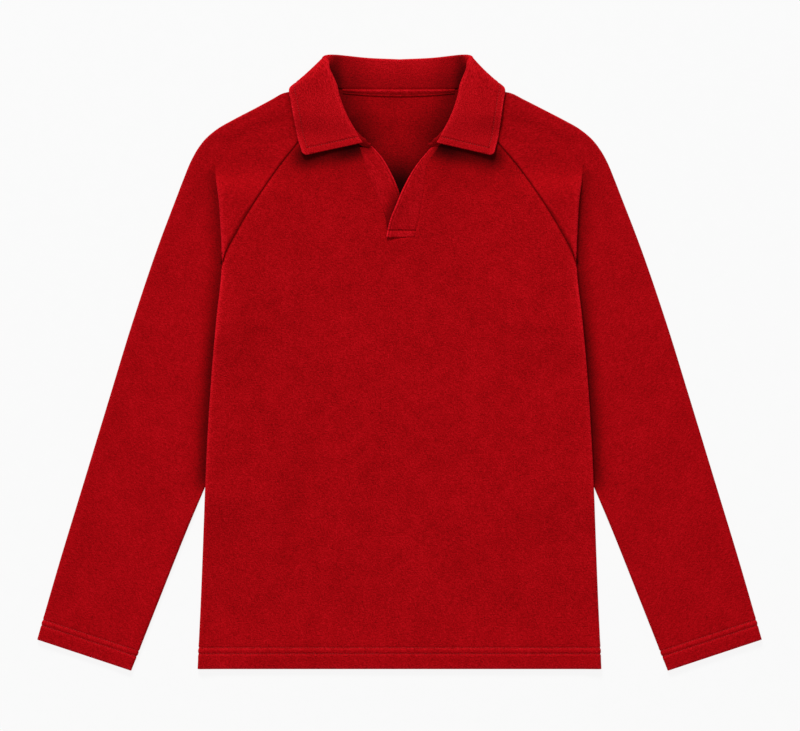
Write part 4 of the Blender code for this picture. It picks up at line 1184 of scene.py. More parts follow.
    def closed_path(self, row: SleeveRow, side: int) -> Array:
        """(distance, level) along one layer of the tube: flat part, turns of the folded end and the inner fold.

        Args:
            row: The row.
            side: 1 for the front layer, -1 for the back one.

        Returns:
            Densely spaced points.
        """
        form, path = self.form, [self.flat_part(row, side)]
        low = form.floor + form.layers
        ending, heading = np.array([row.turn_at, low + row.end_swell]), np.array([1.0, 0.0])
        if row.turned > 0.004:
            turn = np.linspace(0.0, row.turned, self.turn_points)[1:]
            centre = np.array([row.turn_at, low + form.turn])
            arc = np.stack([np.sin(turn), -np.cos(turn)], axis=-1)
            path.append(centre + (form.turn - side * form.layers) * arc)
            heading = np.array([np.cos(row.turned), np.sin(row.turned)])
            path.append(path[-1][-1] + heading * np.linspace(0.0, row.depth, self.fold_points)[1:, None])
            to_middle = form.turn * np.array([np.sin(row.turned), -np.cos(row.turned)])
            ending = centre + to_middle + row.depth * heading
            if row.end_turned > 0.01:
                turn = np.linspace(row.turned, row.turned - row.end_turned, self.turn_points)[1:]
                arc = np.stack([-np.sin(turn), np.cos(turn)], axis=-1)
                centre = ending + to_middle
                path.append(centre + (form.turn + side * form.layers) * arc)
                ending = centre + form.turn * arc[-1]
                heading = np.array([np.cos(turn[-1]), np.sin(turn[-1])])
        normal = np.array([-heading[1], heading[0]])
        turn = np.linspace(0.0, np.pi / 2, self.fold_points)[1:]
        swell = form.layers + row.end_swell
        path.append(ending + swell * (np.outer(np.sin(turn), heading) + side * np.outer(np.cos(turn), normal)))
        return np.concatenate(path)

    def open_path(self, row: SleeveRow, side: int) -> Array:
        """(distance, level) along one layer of an open row: flat part, the pleat's turns and the way to the seam."""
        flat, level_of = self.flat_part(row, side), self.form.front_level if side > 0 else self.form.back_level
        rest = []
        if row.turned > 0:
            turn, run = self.turn_points, self.fold_points - 1
            share = np.linspace(0.0, 1.0, turn)
            first = np.concatenate([share, np.ones(run + turn - 1)])
            straight = np.concatenate([np.zeros(turn), np.linspace(0.0, 1.0, run + 1)[1:], np.ones(turn - 1)])
            second = np.concatenate([np.zeros(turn + run), share[1:]])
            rest.append(self.pleat(row, side, first, straight, second))
        if row.end > row.crest_at:
            across = np.linspace(row.crest_at, row.end, 100)[len(rest) :]
            rest.append(np.stack([across, level_of(*row.place(across).T)], axis=-1))
        rest = np.concatenate(rest)
        step, reach = flat[-1, 1] - rest[0, 1], min(20.0, row.end - row.turn_at)
        rest[:, 1] += step * (1 - ease(rest[:, 0] - row.turn_at, 0.0, reach))
        joined = np.concatenate([flat, rest])
        if row.end > row.crest_at:
            return joined
        apex = len(joined) - self.turn_points // 2
        return joined[: apex + 1 + int(np.argmax(joined[apex:, 0] >= row.end))]

    def sample(self, path: Array, count: int) -> Array:
        """Points on a path at even steps of its length and its bends, so that they are closer in the bends."""
        apart = np.linalg.norm(np.diff(path, axis=0), axis=1) > 5e-3
        path = path[np.append(True, apart)]
        steps = np.diff(path, axis=0)
        bends = np.abs(np.gradient(np.unwrap(np.arctan2(steps[:, 1], steps[:, 0]))))
        weights = np.linalg.norm(steps, axis=1) / self.sparse_step + bends * self.bend_weight
        weight = np.concatenate([[0.0], np.cumsum(weights)])
        return interpolated(np.linspace(0.0, weight[-1], count), weight, path)

    def sample_row(self, path: Array, row: SleeveRow) -> Array:
        """Points of a layer: some up to the turn or the split, the rest beyond it."""
        split = (row.split_at if row.closed else row.turn_at) - 1e-6
        first = int(np.argmax(path[:, 0] >= split)) if path[:, 0].max() > split else len(path) - 12
        head = self.sample(path[: first + 1], self.head_columns)
        return np.concatenate([head, self.sample(path[first:], self.tail_columns + 1)[1:]])

    def row_parts(self) -> list[tuple[float, bool]]:
        """Parts and kinds of the rows, from the cuff over the armpit to the neck."""
        flap_starts = self.length * self.flap_from
        up = finer_near(0.3, flap_starts, self.row_step, self.hem.lines)
        flap = np.linspace(flap_starts, self.length, self.flap_rows)[1:]
        closed = [(1 - float(place) / self.length, True) for place in np.concatenate([up, flap])]
        shoulder = np.concatenate([np.linspace(*stretch)[1:] for stretch in self.shoulder_rows])
        return closed + [(float(part), False) for part in shoulder]

    @cached_property
    def grid(self) -> tuple[Array, Array, Array, Array]:
        """Points at +X, grid of point numbers, place in the flat cloth and distance from the cuff."""
        points, index, flat, up_from_cuff, count = [], [], [], [], 0
        for part, closed in self.row_parts():
            ring, across = [], []
            for side, seam in ((-1, self.form.back_seam), (1, self.form.front_seam)):
                row = self.closed_row(part) if closed else self.open_row(part, seam)
                path = self.closed_path(row, side) if closed else self.open_path(row, side)
                layer = self.sample_row(path, row)
                ring.append(np.concatenate([row.place(layer[:, 0]), layer[:, 1:]], axis=-1))
                across.append(arc_lengths(layer))
            joined = np.concatenate([ring[0][::-1], ring[1][1:]])
            width = np.concatenate([-across[0][::-1], across[1][1:]])
            numbers = np.arange(len(joined)) + count
            if closed:
                joined, width, numbers = joined[:-1], width[:-1], np.append(numbers[:-1], numbers[0])
            points.append(joined)
            index.append(numbers)
            flat.append(np.stack([width, joined[:, :2] @ np.array(self.axis)], axis=-1))
            up_from_cuff.append(np.full(len(joined), self.length * (1 - part if closed else 1 + part)))
            count += len(joined)
        return np.concatenate(points), np.array(index), np.concatenate(flat), np.concatenate(up_from_cuff)

    def painted_lights(self, points: Array, up: Array, near_seam: Array) -> Array:
        """Painted light and shade outside: shadow beside the body's edge and in grooves, light on the pleat's crest.

        Args:
            points: Middle surface at +X.
            up: Distance from the cuff.
            near_seam: Distance to the front's raglan seam.

        Returns:
            The tone at each point.
        """
        form, (out, height, level) = self.form, points.T
        beyond = out - form.crest_edge(height, 20.0)
        from_top = ease(height, form.crest_top_y + 10, form.crest_full_y + 14)
        painted_contact_shadow = from_top * (self.contact_shade + self.contact_gain * ease(height, *self.contact_gain_y))
        low = 1 - painted_contact_shadow * ease(height, *self.contact_end_y) * bell(beyond, self.contact_reach)
        raised = ease(height, form.crest_top_y + 6, form.crest_full_y)
        crest = 1 + raised * bands(beyond, self.crest_tones)
        floor, step = form.floor + 2 * form.layers, np.maximum(form.crest_lift(height), 0.4)
        on_crest = ease(level - floor, *(part * step for part in self.crest_steps)) * (up > self.length)
        tone = low * (1 - on_crest) + crest * on_crest
        tone += self.hem.tone(up, near_seam)
        beside_collar = distance_to(np.array(self.collar_edge), points[:, :2])
        from_slope = np.linalg.norm(points[:, :2] - self.slope, axis=1)
        on_slope = bands(from_slope, self.slope_tones) * (level > form.floor + form.layers)
        return (tone * (1 + bands(beside_collar, self.collar_tones)) * (1 + on_slope)).clip(*PAINTED_LIGHT_RANGE)

    def make(self, name: str, side: int, material: Finish) -> Piece:
        """Builds one sleeve and keeps the cuff's rings, on which stitches are set.

        Args:
            name: Name of the piece.
            side: 1 at +X, -1 at -X.
            material: Its finish.

        Returns:
            The sleeve.
        """
        form = self.form
        points, index, flat, up = self.grid
        on_top = points[:, 2] > form.floor + form.layers
        seam = dense_curve(form.front_seam)[0][::12]
        near_seam = np.where((up > self.length) & on_top, distance_to(seam, points[:, :2]), FAR)
        front, back = self.hem.walls(form.half_wall, up, near_seam)
        tone = self.painted_lights(points, up, near_seam)
        faces = grid_faces(index)
        if side > 0:
            faces = faces[:, ::-1]
        points = points * (side, 1, 1)
        normals = surface_normals(points, faces)
        outer = points + normals * front[:, None]
        for line in self.hem.lines:
            row = int(np.argmin(np.abs(up[index[:, 0]] - line)))
            self.rings[line] = (outer[index[row]], normals[index[row]])
        return ClothMesh(points, faces, flat, front, back, normals, tone, rim=RIM).build(name, material)


# ---------------------------------------------------------------- collar


@dataclass
class Collar:
    """A turn-down collar in one piece: the stand, the roll over it and the fall, from front end to front end.

    Each row of the table has the neck seam, the fold line and the outer edge, (out, up) each, and which way the fall
    turns over the stand: 1 up, 0 outwards, -1 down.
    """

    form: ShirtForm
    half_wall: float = 1.3
    fold: float = 2.0
    tip_lift: float = 3.0
    corner: float = 5.5  # radius of the collar's points
    stitch_inset: float = 7.0
    stand_bow: float = 4.0  # how far the stand bows into the opening beside its front end
    corner_shift: float = 3.4  # how far the fall stands out where it turns from the front to the back
    on_sleeve: float = 2.4  # how much higher the fall lies over the sleeve's head
    on_sleeve_out: Pair = (84.0, 104.0)
    on_sleeve_up: Pair = (272.0, 300.0)
    neck_back_y: float = 310.0  # height over which no point lies beside a front end
    # Painted highlights at the outer edge, the front ends and the roll, and painted shade in the stitched lines
    edge_tones: Bands = ((0.34, 0.0, 2.0),)
    front_tones: Bands = ((0.13, 0.0, 2.0),)
    roll_tones: Bands = ((0.08, 0.0, 14.0), (0.16, 0.0, 2.5))
    line_tones: Bands = ((-0.2, 0.0, 0.8),)
    band_tone: float = 0.05  # painted light between the stitches and the edge
    front_facet: Bands = ((1.0, 0.0, 10.0),)  # painted light on the stand's front ends
    stand_tones: Pair = (0.75, 0.28)  # painted shade at the neck seam, and what it gains up to the roll
    side_shades: tuple = ((0.3, 25.0, 62.0), (0.42, 60.0, 80.0))  # painted shade that it loses outwards: shade, start and end
    # painted highlight on the roll
    roll_tone: float = 1.2
    turn_corner: Pair = (86.0, 367.0)  # where the stand turns to the back, in a spot of painted light
    corner_tones: Bands = ((0.6, 0.0, 6.0),)
    rows_each: int = 9
    front_rows: tuple[float, ...] = (
        0.0, 0.03, 0.07, 0.12, 0.19, 0.28, 0.38, 0.48, 0.56, 0.63, 0.69, 0.75, 0.81, 0.87, 0.93, 1.0, 1.1, 1.22, 1.36,
    )  # fmt: skip
    table: tuple = (
        ((34.5, 262.4), (47.6, 265.8), (116.0, 249.6), 1.0),
        ((46.8, 262.8), (52.4, 276.6), (117.6, 257.4), 1.0),
        ((59.4, 279.6), (57.6, 287.0), (121.4, 269.4), 1.0),
        ((70.4, 295.9), (64.8, 302.0), (124.6, 285.6), 1.0),
        ((80.2, 310.0), (71.4, 319.5), (127.8, 303.0), 1.0),
        ((83.8, 320.0), (75.9, 336.0), (130.0, 316.0), 1.0),
        ((84.8, 325.4), (84.0, 353.0), (131.8, 323.6), 1.0),
        ((85.2, 328.0), (85.4, 361.4), (131.6, 328.0), 0.6),
        ((85.4, 330.4), (88.6, 366.6), (129.8, 331.2), 0.0),
        ((84.2, 331.8), (85.8, 369.4), (127.0, 331.6), -0.6),
        ((78.6, 331.0), (78.0, 370.4), (119.0, 327.0), -1.0),
        ((66.0, 330.2), (64.0, 369.2), (98.0, 317.4), -1.0),
        ((38.0, 330.0), (36.4, 366.4), (50.0, 312.2), -1.0),
        ((0.0, 330.0), (0.0, 364.8), (0.0, 310.8), -1.0),
    )
    stand_parts: int = 12
    roll_parts: int = 13
    fall_parts: int = 23
    beside_stitches: tuple[float, ...] = (-1.7, -0.9, 0.0, 0.9, 1.8, 3.0, 4.2, 5.2, 6.0, 6.6)
    stitch_lines: Lines = field(default_factory=list, init=False)

    @property
    def fall_column(self) -> int:
        """Column at which the fall starts."""
        return self.stand_parts + self.roll_parts

    def fall_depths(self, length: float) -> Array:
        """Distances down the fall, closer together at the top stitching inside its edge."""
        edge = length - self.stitch_inset
        inner = edge * np.linspace(0.0, 1.0, self.fall_parts + 1)[:-1] ** 1.2
        inner *= (edge - 2.6) / inner[-1]
        return np.concatenate([inner, edge + np.array(self.beside_stitches), [length]])

    def section(
        self, neck: Array, fold: Array, edge: Array, turn: float, tip: float, bow: float
    ) -> tuple[Array, Array]:
        """Points across the collar from the neck seam over the roll, a half circle, to the outer edge.

        Args:
            neck: (out, up) of the neck seam.
            fold: (out, up) of the rim of the roll, seen from above.
            edge: (out, up) of the outer edge.
            turn: Which way the fall turns over the stand.
            tip: Lift of the outer edge, at the collar's points.
            bow: How far the stand's middle bows into the opening, and nearly as far up.

        Returns:
            The points, and two measures of each. The first is -2 at the neck seam, -1 where the roll starts, 0
            where the fall starts and then the distance down the fall. The second is the distance to the fall's edge.
        """
        form = self.form
        lean = turn * np.pi / 2
        share = (1 + np.sin(lean)) / 2
        onward = unit(fold - neck)
        fold = fold - (self.fold + self.half_wall) * onward
        across = unit(edge - fold)
        over = np.append(across * np.cos(lean), np.sin(lean))
        fall_start = fold + self.fold * over[:2]
        length = float(np.linalg.norm(edge - fall_start))
        depths = self.fall_depths(length)
        part = depths / length
        shift = self.corner_shift * np.cos(lean) * turned_left(across)
        plan = fall_start + (edge - fall_start) * part[:, None] + shift * ((1 - part) ** 2)[:, None]
        out, height = plan.T
        sleeve = self.on_sleeve * ease(out, *self.on_sleeve_out) * ease(height, *self.on_sleeve_up)
        cloth = form.front_level(out, height) + sleeve + form.half_wall
        above = cloth + SEAM + self.half_wall + 1.1 * (1 - part) ** 2 + 0.4 + tip * part**3
        fall = np.column_stack([plan, share * above + (1 - share) * self.half_wall])
        middle = np.append(fold, fall[0, 2] - self.fold * over[2])
        stand_end = middle - self.fold * over
        neck_level = share * form.front_level(*neck) + (1 - share) * (self.half_wall + 2 * self.fold)
        up = np.linspace(0.0, 1.0, self.stand_parts)
        stand = np.append(neck, neck_level) * (1 - up[:, None]) + stand_end * up[:, None]
        stand += bow * np.sin(np.pi * up)[:, None] * np.append(turned_left(onward), 0.9)
        turned = np.linspace(0.0, 1.0, self.roll_parts + 2)[1:-1]
        angles = np.pi * turned[:, None]
        roll = middle + self.fold * (-np.cos(angles) * over + np.sin(angles) * np.append(onward, 0.0))
        roll[:, :2] += shift * (1 - np.cos(angles)) / 2
        depth = np.concatenate([up - 2.0, turned - 1.0, depths])
        to_edge = np.concatenate([np.full(len(stand) + len(roll), FAR), length - depths])
        return np.concatenate([stand, roll, fall]), np.stack([depth, to_edge], axis=-1)

    def half(self) -> tuple[Array, Array]:
        """Sections from the front end to the middle of the back, and their depths."""
        knots = np.array([np.concatenate(row[:3]) for row in self.table])
        turns = np.array([row[3] for row in self.table])
        rows = np.arange(len(self.table))
        places = np.concatenate([self.front_rows, np.arange(1.5, len(rows) - 1 + 1e-6, 1 / self.rows_each)])
        places[-1] = len(rows) - 1
        values = curve_through(rows, knots, places)
        leans = curve_through(rows, turns, places).clip(-1, 1)
        tips = self.tip_lift * (1 - ease(places, 0.0, 2.5))
        from_front = np.linalg.norm(values[:, 4:] - values[0, 4:], axis=1)
        inside = np.clip(self.corner - from_front, 0.0, None)
        cut = self.corner - np.sqrt(self.corner**2 - inside**2)
        values[:, 4:] -= unit(values[:, 4:] - values[:, 2:4]) * cut[:, None]
        bows = self.stand_bow * ease(places, 0.0, 0.6) * ease(places, 3.0, 1.2)
        measures = zip(values, leans, tips, bows)
        made = [self.section(v[:2], v[2:4], v[4:], turn, tip, bow) for v, turn, tip, bow in measures]
        points, depths = zip(*made)
        return np.array(points), np.array(depths)

    def painted_lights(self, grid: Array, depth: Array, to_edge: Array, from_front: Array) -> Array:
        """Painted light and shade outside: light at the roll and edges, shade inside the stand and in stitched lines.
        """
        out, falls, inset = np.abs(grid[..., 0]), depth >= 0, self.stitch_inset
        tone = 1 + bands(to_edge, self.edge_tones) + bands(from_front, self.front_tones)
        tone += bands(depth, self.roll_tones) + self.band_tone * ease(to_edge, inset, inset - 2)
        lines = sum(bands(distance - inset, self.line_tones) for distance in (to_edge, from_front))
        tone += lines * (np.minimum(to_edge, from_front) > inset - 1)
        ends = sum(shade * ease(out, start, end) for shade, start, end in self.side_shades)
        stand = self.stand_tones[0] + self.stand_tones[1] * ease(depth, -1.9, -1.0)
        inside = (stand - ends).clip(0.16, None) + bands(from_front, self.front_facet) * ease(out, 62.0, 50.0)
        from_corner = np.linalg.norm(on_half(grid) - self.turn_corner, axis=-1)
        inside += bands(from_corner, self.corner_tones) * ease(depth, -1.6, -1.0)
        rolled = ease(depth, -1.0, -0.35)
        return np.where(falls, tone, inside * (1 - rolled) + self.roll_tone * rolled).clip(*PAINTED_LIGHT_RANGE)

    def keep_stitches(self, outer: Array, normals: Array, from_front: Array) -> None:
        """Keeps the lines of the top stitching: along the outer edge, and along each front end."""
        line_column = self.fall_column + self.fall_parts + self.beside_stitches.index(0.0)
        rows = np.where(from_front[:, line_column] >= self.stitch_inset - 0.4)[0]
        self.stitch_lines.append((outer[rows, line_column], normals[rows, line_column]))
        columns = np.arange(self.fall_column + 1, line_column)
        each = np.arange(len(columns))
        last = len(self.front_rows) + 4
        for end in (slice(0, last), slice(len(outer) - 1, len(outer) - 1 - last, -1)):
            distance = from_front[end][:, columns]
            row = np.argmax(distance >= self.stitch_inset, axis=0)
            low, high = distance[row - 1, each], distance[row, each]
            part = ((self.stitch_inset - low) / (high - low))[:, None]
            near_end = (values[end][:, columns] for values in (outer, normals))
            line, up = (near[row - 1, each] * (1 - part) + near[row, each] * part for near in near_end)
            self.stitch_lines.append((line, up))

    def make(self, material: Finish) -> Piece:
        """Builds the collar with the dents of its top stitching and keeps the stitching's lines."""
        half, measures = self.half()
        grid = np.concatenate([half * (-1, 1, 1), half[::-1][1:]])
        depth, to_edge = np.moveaxis(np.concatenate([measures, measures[::-1][1:]]), -1, 0)
        shape = grid.shape[:2]
        points, faces = grid_surface(grid[..., :2], grid[..., 2])
        faces = faces[:, ::-1]
        normals = surface_normals(points, faces)
        front_end = half[0, self.fall_column :, :2]
        from_front = np.where(grid[..., 1] < self.neck_back_y, distance_to(front_end, on_half(grid)), FAR)
        falls = depth >= 0
        inside = (to_edge > self.stitch_inset - 1.2) & (from_front > self.stitch_inset - 1.2)
        dent = sum(stitched_dent(distance - self.stitch_inset, 0.6) for distance in (to_edge, from_front))
        swell = 0.25 * bell(np.minimum(to_edge, from_front) - self.stitch_inset / 2, 2.4)
        front = (self.half_wall - np.where(falls & inside, dent, 0.0) + np.where(falls, swell, 0.0)).ravel()
        down = np.broadcast_to(arc_lengths(grid[len(grid) // 4]), shape)
        round_neck = np.broadcast_to(arc_lengths(grid[:, 0])[:, None], shape)
        flat = np.stack([round_neck, down], axis=-1).reshape(-1, 2)
        outer = (points + normals * front[:, None]).reshape(*shape, 3)
        self.keep_stitches(outer, normals.reshape(*shape, 3), from_front)
        tone = self.painted_lights(grid, depth, to_edge, from_front)
        # Painted shade on the inner side and painted light on the rim
        wall = ClothMesh(points, faces, flat, front, self.half_wall, normals, tone, 0.6, rim_painted_light=1.1, rim=0.9)
        return wall.build("collar_turned", material)


# ---------------------------------------------------------------- placket and neck tape


@dataclass
class PlacketStrip:
    """One strip of the placket: flat by its seam, its free edge a rolled bead with a stitched line beside it.

    The sewn and the free edge run from the slot's bottom up to the neck. A boxed strip has a sewn box at its bottom.
    """

    form: ShirtForm
    name: str
    sewn: Points
    free: Points
    drop_near: float  # how far the free edge lies under the front at the bottom
    drop_far: float  # and at the neck
    power: float = 1.0  # how late the drop comes on the way to the free edge
    boxed: bool = False
    half_wall: float = 1.0
    ends: Pair = (0.012, 0.975)
    box_height: float = 8.4
    bead: float = 0.55
    shaded_by: Points = ()  # edge of a strip that lies over this one, whose shadow is painted on this one
    columns: int = 11
    bead_depths: tuple[float, ...] = (0.0, 0.5, 1.0, 1.5, 2.0, 2.5, 3.0, 3.5, 4.2, 5.2)
    beside_box: tuple[float, ...] = (0.45, 0.95, 1.6)
    bead_form: Bands = ((1.0, 0.9, 0.9), (0.7, 3.4, 0.9))  # two ridges, as parts of the bead's height
    # Painted light on the free edge; painted shade at the seam, under the collar and under the strip above
    free_tones: Bands = ((0.42, 0.0, 1.2), (0.22, 3.5, 0.9), (-0.3, 2.2, 0.6), (-0.06, 9.0, 5.0))
    seam_tones: Bands = ((-0.22, 0.0, 1.0),)
    overlap_tones: Bands = ((-0.64, 0.0, 10.0),)
    collar_tones: Bands = ((-0.6, 0.0, 14.0),)
    box_swell: float = 0.45
    box_line: Bands = ((-0.7, 0.0, 0.9),)
    # Painted shade round the box and painted light inside it
    box_line_tones: Bands = ((-0.6, 0.0, 0.8),)
    box_bottom_tones: Bands = ((-0.3, 0.0, 0.8),)
    box_side_tones: Bands = ((-0.45, 1.6, 0.8),)
    box_tone: float = 0.16

    def in_box(self, up: Array) -> Array:
        """1 in the sewn box, 0 over it."""
        return ease(up, self.box_height + 0.6, self.box_height - 0.6)

    def grid(self) -> tuple[Array, Array, Array, Array]:
        """(across, up) of the points, their distances to the free edge and up the strip, and the share of the way."""
        length = float(dense_curve(self.free)[1][-1])
        places = finer_near(0.0, length, 1.6, (self.box_height,) if self.boxed else (), self.beside_box)
        heights = places / length
        seam = points_along(self.sewn, heights.clip(*self.ends))
        loose = points_along(self.free, heights)
        width = np.linalg.norm(loose - seam, axis=1)
        depths = np.array(self.bead_depths)
        inner = np.linspace(0.0, 1.0, self.columns)[:-1]
        depth = np.concatenate([inner * (width[:, None] - depths[-1]), width[:, None] - depths[::-1]], axis=1)
        share = depth / width[:, None]
        plan = seam[:, None] + (loose - seam)[:, None] * share[..., None]
        return plan, width[:, None] - depth, np.broadcast_to(places[:, None], depth.shape), share

    def painted_lights(self, plan: Array, from_free: Array, up: Array, from_seam: Array) -> Array:
        """Painted light and shade: two lit ridges, a shaded line between them at the free edge, shaded lines round
        the box.
        """
        tone = 1 + bands(from_free, self.free_tones) + bands(from_seam, self.seam_tones)
        if self.shaded_by:
            tone *= 1 + bands(distance_to(dense_curve(self.shaded_by)[0][::30], plan), self.overlap_tones)
        under_collar = distance_to(np.array(BodyPanel.collar_front), on_half(plan))
        tone *= 1 + bands(under_collar, self.collar_tones) * ease(from_free, 1.5, 5.0)
        if self.boxed:
            tone += bands(up - self.box_height, self.box_line_tones) + bands(up, self.box_bottom_tones)
            tone += self.in_box(up) * (self.box_tone + bands(from_seam, self.box_side_tones))
        return tone.clip(*PAINTED_LIGHT_RANGE)

    def make(self, material: Finish) -> Piece:
        """Builds the strip between its sewn and its free edge."""
        plan, from_free, up, share = self.grid()
        seam = plan[:, 0]
        level = self.form.front_level(np.abs(seam[:, 0]), seam[:, 1])
        drop = self.drop_near + (self.drop_far - self.drop_near) * ease(up[:, 0] / up[-1, 0], 0.3, 0.7)
        height = level[:, None] - drop[:, None] * share**self.power
        points, faces = grid_surface(plan, height)
        normals = surface_normals(points, faces)
        if normals[:, 2].mean() < 0:
            faces, normals = faces[:, ::-1], -normals
        front = self.half_wall + self.bead * (bands(from_free, self.bead_form) - 0.5)
        from_seam = np.linalg.norm(plan - plan[:, :1], axis=-1)
        if self.boxed:
            sewn_sides = bell(from_seam - 1.6, 0.9) + bell(from_free - 2.2, 0.9)
            front += bands(up - self.box_height, self.box_line)
            front += self.box_swell * self.in_box(up) * (1 - sewn_sides)
        tone, flat = self.painted_lights(plan, from_free, up, from_seam), plan.reshape(-1, 2)
        # Painted shade on the inner side and painted light on the rim
        wall = ClothMesh(
            points, faces, flat, front, self.half_wall, normals, tone, inner_painted_light=0.5, rim_painted_light=1.25, rim=0.8
        )
        return wall.build(self.name, material)


@dataclass
class NeckTape:
    """The tape over the back neck seam, inside the shirt, with a line of stitches above its lower edge."""

    form: ShirtForm
    half_width: float = 68.0
    top: float = 329.0
    drop_side: float = 5.0
    drop_middle: float = 8.8
    half_wall: float = 0.5
    # A ridge and a stitched line: places and widths as parts of the tape's width from its top
    relief: Bands = ((0.9, 0.3, 0.16), (-0.3, 0.74, 0.06))
    # Painted light on the ridge and painted shade in the stitched line, at the same places
    painted_lights: Bands = ((0.5, 0.3, 0.17), (-0.35, 0.74, 0.07))
    rows: tuple[float, ...] = (0.0, 0.06, 0.14, 0.22, 0.3, 0.4, 0.52, 0.62, 0.68, 0.74, 0.8, 0.87, 0.93, 1.0)

    def make(self, material: Finish) -> Piece:
        """Builds the tape on the back panel's inner side."""
        across = np.linspace(-self.half_width, self.half_width, 121)
        drop = self.drop_middle + (self.drop_side - self.drop_middle) * (across / self.half_width) ** 2
        down = np.array(self.rows)[:, None]
        height = self.top - down * drop
        out = np.broadcast_to(across, height.shape)
        level = self.form.back_level(np.abs(out), height) + self.form.half_wall + SEAM + self.half_wall
        plan = np.stack([out, height], axis=-1)
        points, faces = grid_surface(plan, level)
        part = np.broadcast_to(down, height.shape)
        front = self.half_wall + bands(part, self.relief)
        # Painted shade, deeper towards the tape's ends
        shade = 0.4 * ease(np.abs(out), 30.0, 66.0)
        tone = 0.85 + bands(part, self.painted_lights) - shade
        flat = plan.reshape(-1, 2)
        wall = ClothMesh(points, faces[:, ::-1], flat, front, self.half_wall, tone=tone.clip(0.1, 1.5))
        return wall.build("neck_tape_sewn", material)


# ---------------------------------------------------------------- studio


@dataclass(frozen=True)
class Studio:
    """A white floor, soft light from above and a long lens straight over the shirt."""

    millimetres_per_pixel: float = 1.2
    frame: tuple[int, int] = (800, 731)
    origin_pixel: Pair = (399.5, 363.0)
    distance: float = 6.0
    floor_half: float = 30.0

    def floor(self) -> None:
        """A pale floor that glows a little, as on a light table, so that its shadows stay faint."""
        tree = ClothTree("floor_paper")
        grain = tree.noise(tree.node("ShaderNodeTexCoord", {}, {}, "Object"), 60.0, 2.0)
        tree.dress("Base Color", tree.mix(grain, (0.06, 0.06, 0.06), (0.07, 0.07, 0.07)))
        tree.dress("Roughness", 0.9)
        tree.dress("Specular IOR Level", 0.0)
        tree.dress("Emission Color", (1.0, 1.0, 1.0, 1.0))
        tree.dress("Emission Strength", 0.89)
        half = self.floor_half / MM
        corners = np.array([[-half, -half, 0.0], [half, -half, 0.0], [half, half, 0.0], [-half, half, 0.0]])
        floor = mesh_object("floor", corners, np.array([[0, 1, 2, 3]]), corners[:, :2], tree.material, 1.0, False)

    def light(self, name: str, place: tuple[float, float, float], size: float, power: float) -> None:
        """An area light that looks at the shirt."""
        lamp = bpy.data.lights.new(name, "AREA")
        lamp.shape, lamp.size, lamp.energy = "DISK", size, power
        made = bpy.data.objects.new(name, lamp)
        made.location = place
        made.rotation_euler = (-made.location).to_track_quat("-Z", "Y").to_euler()
        bpy.context.scene.collection.objects.link(made)

    def camera(self) -> None:
        """The lens that shows the frame's width at this distance, over the middle of the frame."""
        lens = bpy.data.cameras.new("camera")
        width = self.frame[0] * self.millimetres_per_pixel * MM
        lens.lens = lens.sensor_width * self.distance / width
        lens.clip_end = 100.0
        made = bpy.data.objects.new("camera", lens)
        across = (self.frame[0] / 2 - self.origin_pixel[0]) * self.millimetres_per_pixel * MM
        up = (self.origin_pixel[1] - self.frame[1] / 2) * self.millimetres_per_pixel * MM
        made.location = (across, up, self.distance + 0.008)
        bpy.context.scene.collection.objects.link(made)
        bpy.context.scene.camera = made

    def set_up(self) -> None:
        """Makes the world, the floor, the lights and the camera."""
        scene = bpy.context.scene
        scene.view_settings.view_transform = "Standard"
        scene.world = bpy.data.worlds.new("studio")
        scene.world.use_nodes = True
        sky = scene.world.node_tree.nodes["Background"]
        sky.inputs["Color"].default_value = (1.0, 1.0, 1.0, 1.0)
        sky.inputs["Strength"].default_value = 0.26
        self.floor()
        self.light("key", (-1.6, 7.5, 5.6), 3.0, 980.0)
        self.light("fill", (0.0, -4.0, 8.0), 3.0, 130.0)
        self.camera()


# ---------------------------------------------------------------- the whole shirt


class Dye(Enum):
    """Linear colours of the cloth's pieces."""

    BODY = (0.335, 0.0013, 0.0032)
    SLEEVE = (0.338, 0.0013, 0.0034)
    COLLAR = (0.37, 0.0018, 0.0042)
    PLACKET = (0.35, 0.0016, 0.004)
    TAPE = (0.3, 0.0012, 0.003)
    THREAD = (0.36, 0.002, 0.005)


# Soft troughs and ridges across the front: ends in plan, width and height.
BODY_CREASES = (
    Crease((-181.0, 150.0), (-177.0, -75.0), 15.0, -0.9),
    Crease((-108.0, -60.0), (-152.0, -330.0), 17.0, -1.2),
    Crease((-62.0, -190.0), (-34.0, -340.0), 20.0, -0.6),
    Crease((18.0, -150.0), (22.0, -320.0), 16.0, 0.5),
    Crease((64.0, -200.0), (78.0, -340.0), 18.0, -0.6),
    Crease((158.0, -90.0), (128.0, -330.0), 18.0, -0.5),
    Crease((204.0, 150.0), (196.0, 60.0), 12.0, -0.5),
)


